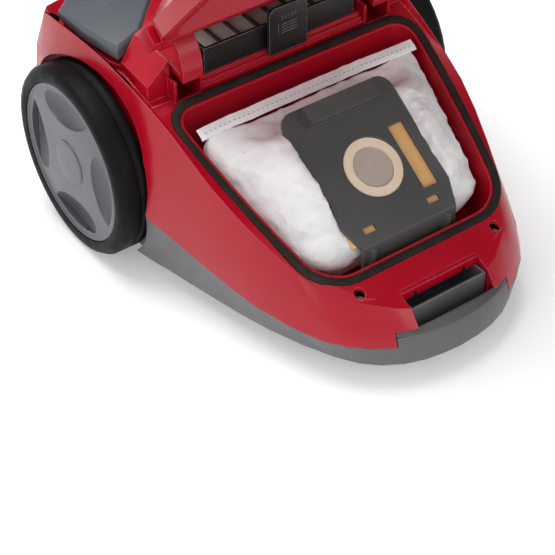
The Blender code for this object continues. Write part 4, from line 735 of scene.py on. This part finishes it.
def dust_bag():
    """The full fleece bag: puffed by its air, folded a little, and pinched along its rear seam."""
    bag = from_cad("dust_bag")
    apply_modifier(bag, "REMESH", mode="VOXEL", voxel_size=VOXEL)
    start = [vertex.co.copy() for vertex in bag.data.vertices]
    only(bag)
    cloth = bag.modifiers.new("cloth", "CLOTH")
    cloth.settings.quality = 5
    cloth.settings.use_pressure = True
    cloth.settings.uniform_pressure_force = 4
    cloth.settings.effector_weights.gravity = 0
    cloth.settings.mass = 0.3
    cloth.settings.tension_stiffness = 15
    cloth.settings.compression_stiffness = 4
    cloth.settings.bending_stiffness = 0.4
    cloth.point_cache.frame_start = 1
    cloth.point_cache.frame_end = CLOTH_STEPS
    for step in range(1, CLOTH_STEPS + 1):
        scene.frame_set(step)
    bpy.ops.object.modifier_apply(modifier=cloth.name)
    scene.frame_set(1)
    solid = tree_of("bag_holder", "bag_card", "inlet_ring", "inlet_membrane", "dust_chamber", "lid_seal",
                    "motor_grille", "pre_motor_filter", lid_shut=("lid_liner", "port_gasket"))
    mesh = bag.data
    for vertex, first in zip(mesh.vertices, start):
        move = vertex.co - first
        near = solid.find_nearest(first)
        room = max(0.0, near[3] - 0.0010)
        limit = min(PUFF_MOST, room)
        if move.length > limit:
            move *= limit / move.length
        vertex.co = first + move
    for vertex in mesh.vertices:
        p = vertex.co
        anchor = seam_point(max(-SEAM_HALF + 0.003, min(SEAM_HALF - 0.003, p.x)), 0.0062)
        anchor.z -= 0.0004
        pull = anchor - p
        near = max(0.0, 1 - pull.length / SEAM_REACH)
        if near and p.z > 0.105:
            pull *= 0.95 * near * near * (3 - 2 * near)
            room = max(0.0, solid.find_nearest(p)[3] - 0.0012)
            if pull.length > room:
                pull *= room / pull.length
            vertex.co = p + pull
    bpy.context.view_layer.update()
    apply_modifier(bag, "SUBSURF", levels=1, render_levels=1)
    mesh = bag.data
    normals = [vertex.normal.copy() for vertex in mesh.vertices]
    for vertex, normal in zip(mesh.vertices, normals):
        p = vertex.co
        fold = noise.fractal(Vector((p.x * 30, p.y * 24, p.z * 34)), 0.9, 2.1, 4)
        crumple = noise.noise(Vector((p.x * 110 + 4, p.y * 90, p.z * 100)))
        crease = 1 - abs(noise.noise(Vector((p.x * 42, p.y * 36 + 7, p.z * 46)))) * 5
        step = 0.0013 * fold + 0.0003 * crumple + 0.0009 * max(0.0, crease)
        near = solid.find_nearest(p)
        room = max(0.0, near[3] - 0.0007)
        vertex.co = p + normal * max(-FOLD_MOST, min(step, room, FOLD_MOST))
    smooth(bag, 80)
    finish_piece(bag, "fleece_bag", fleece, "bag_unit", "fleece", "dust_bag")


dust_bag()


LIP_DEPTH = 0.0085
STITCHES = 46
STITCH_ROW = 0.197
STITCH_BACK = 0.0052


def bag_seam():
    """The welded rear seam of the bag: a flat double edge with a row of small stitches."""
    lip = primitive("grid", x_subdivisions=120, y_subdivisions=6, size=2)
    for vertex in lip.data.vertices:
        x = vertex.co.x * SEAM_HALF
        back = LIP_DEPTH * (1 - vertex.co.y) / 2
        vertex.co = seam_point(x, back)
        vertex.co.z -= 0.0016 * max(0, (back - 0.0062) / 0.0023)
    apply_modifier(lip, "SOLIDIFY", thickness=0.0010, offset=-1)
    softened(lip, 0.0003, 2, 50)
    smooth(lip, 60)
    finish_piece(lip, "bag_rear_seam", fleece, "bag_unit", "fleece")
    first = primitive("uv_sphere", segments=10, ring_count=6, radius=1)
    first.scale = (0.00125, 0.00034, 0.00028)
    settle(first)
    stitches = []
    for k in range(STITCHES):
        x = -STITCH_ROW / 2 + STITCH_ROW * k / (STITCHES - 1)
        only(first)
        bpy.ops.object.duplicate()
        stitch = bpy.context.active_object
        stitch.matrix_world = (Matrix.Translation(seam_point(x, STITCH_BACK) + Vector((0, 0, 0.00005)))
                               @ Matrix.Rotation(0.44, 4, "X"))
        stitches.append(settle(stitch))
    bpy.data.objects.remove(first)
    row = joined(stitches)
    smooth(row, 60)
    finish_piece(row, "bag_seam_stitches", stitch_thread, "bag_unit", "fleece")


bag_seam()


# ---------------------------------------------------------------- raised details
def rounded_bar(centre, size, edge=0.0004):
    """A small moulded bar with rounded edges."""
    bar = primitive("cube", size=1)
    bar.scale = size
    settle(bar)
    softened(bar, edge, 2)
    bar.location = centre
    return settle(bar)


def surface_under(node, x, y, top=0.4):
    """The height of a part's surface under a point."""
    hit = tree_of(node).ray_cast(Vector((x, y, top)), Vector((0, 0, -1)))
    return hit[0].z if hit[0] is not None else None


def tab_lines():
    """Plain raised lines and a corner mark on the filter's pull tab."""
    low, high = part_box("filter_frame")
    face_y = low[1]
    middle = 0.0020
    lines = []
    for k in range(4):
        lines.append(rounded_bar((middle + 0.001, face_y, high[2] - 0.0165 - 0.0026 * k),
                                 (0.0150, 0.0006, 0.0005), edge=0.0001))
    lines.append(rounded_bar((middle - 0.0095, face_y, high[2] - 0.0205),
                             (0.0005, 0.0006, 0.0110), edge=0.0001))
    for k in range(5):
        lines.append(rounded_bar((middle - 0.0060 + 0.0032 * k, face_y, high[2] - 0.0105),
                                 (0.0012, 0.0006, 0.0032), edge=0.0001))
    marks = joined(lines)
    smooth(marks, 40)
    finish_piece(marks, "tab_raised_lines", frame_black, "filter_cassette", "black_satin")


def deck_bar():
    """The short stop bar behind the seal's left corner, with a rounded end."""
    x, y = -0.1130, 0.0290
    z = surface_under("top_shell", x, y, 0.25)
    bar = rounded_bar((x, y, z + 0.0002), (0.0200, 0.0030, 0.0026), edge=0.0009)
    smooth(bar, 40)
    finish_piece(bar, "deck_stop_bar", shell_red, "body", "red_gloss")


RIB_SIZE = (0.0044, 0.0022, 0.0230)
RIB_SINK = 0.0008


def chamber_ribs():
    """Upright guide ribs on the chamber's side walls."""
    wall = tree_of("dust_chamber")
    ribs = []
    for side in (-1, 1):
        for y, top in ((-0.0500, 0.110), (-0.0780, 0.096)):
            for k in range(2):
                start = Vector((side * 0.09, y, top - 0.018 - 0.020 * k))
                hit = wall.ray_cast(start, Vector((side, 0, 0)))
                if hit[0] is None:
                    continue
                ribs.append(rounded_bar((hit[0].x - side * RIB_SINK, y, start.z), RIB_SIZE, edge=0.0009))
    piece = joined(ribs)
    smooth(piece, 40)
    finish_piece(piece, "chamber_guide_ribs", inner_red, "body", "red_gloss")


tab_lines()
deck_bar()
chamber_ribs()


# ---------------------------------------------------------------- floor, light and backdrop
def studio():
    """A white sweep of floor under a large soft light, with the rear right kept dark."""
    floor = primitive("plane", size=14, location=(0, 0, 0))
    floor.name = "studio_floor"
    material, tree, skin = new_material("floor_paper")
    place = add(tree, "ShaderNodeTexCoord")
    tone = spread(tree, noise_at(tree, place, 3, 3), 0.3, 0.7, 0, 1)
    tree.links.new(blended(tree, tone, (0.93, 0.93, 0.93), (0.90, 0.90, 0.90)),
                   skin.inputs["Base Color"])
    skin.inputs["Roughness"].default_value = 0.35
    skin.inputs["Specular IOR Level"].default_value = 0.3
    skin.inputs["Emission Color"].default_value = (1, 1, 1, 1)
    skin.inputs["Emission Strength"].default_value = 0.24
    floor.data.materials.append(material)
    for name, size, power, where, target in (
            ("top_softbox", (1.3, 1.3), 27, (-0.20, 0.50, 1.75), (0, 0, 0.1)),
            ("left_softbox", (0.9, 1.4), 4, (-1.7, -0.7, 0.9), (0, 0, 0.1)),
            ("front_softbox", (1.2, 0.7), 5, (0.4, -1.9, 1.0), (0, -0.05, 0.1))):
        light = bpy.data.lights.new(name, "AREA")
        light.shape = "RECTANGLE"
        light.size, light.size_y = size
        light.energy = power
        holder = bpy.data.objects.new(name, light)
        scene.collection.objects.link(holder)
        holder.location = where
        holder.rotation_euler = (Vector(target) - Vector(where)).to_track_quat("-Z", "Y").to_euler()
    world = bpy.data.worlds.new("studio_world")
    scene.world = world
    world.use_nodes = True
    tree = world.node_tree
    place = add(tree, "ShaderNodeTexCoord")
    dot = add(tree, "ShaderNodeVectorMath", operation="DOT_PRODUCT")
    dot.inputs[1].default_value = Vector((0.60, 0.42, 0.62)).normalized()
    tree.links.new(place.outputs["Generated"], dot.inputs[0])
    shade = spread(tree, dot.outputs["Value"], 0.10, 0.80, 0, 1)
    colour = blended(tree, shade, (1.0, 1.0, 1.0), (0.12, 0.12, 0.125))
    tree.links.new(colour, tree.nodes["Background"].inputs["Color"])
    tree.nodes["Background"].inputs["Strength"].default_value = 0.80


studio()

nothing_selected()
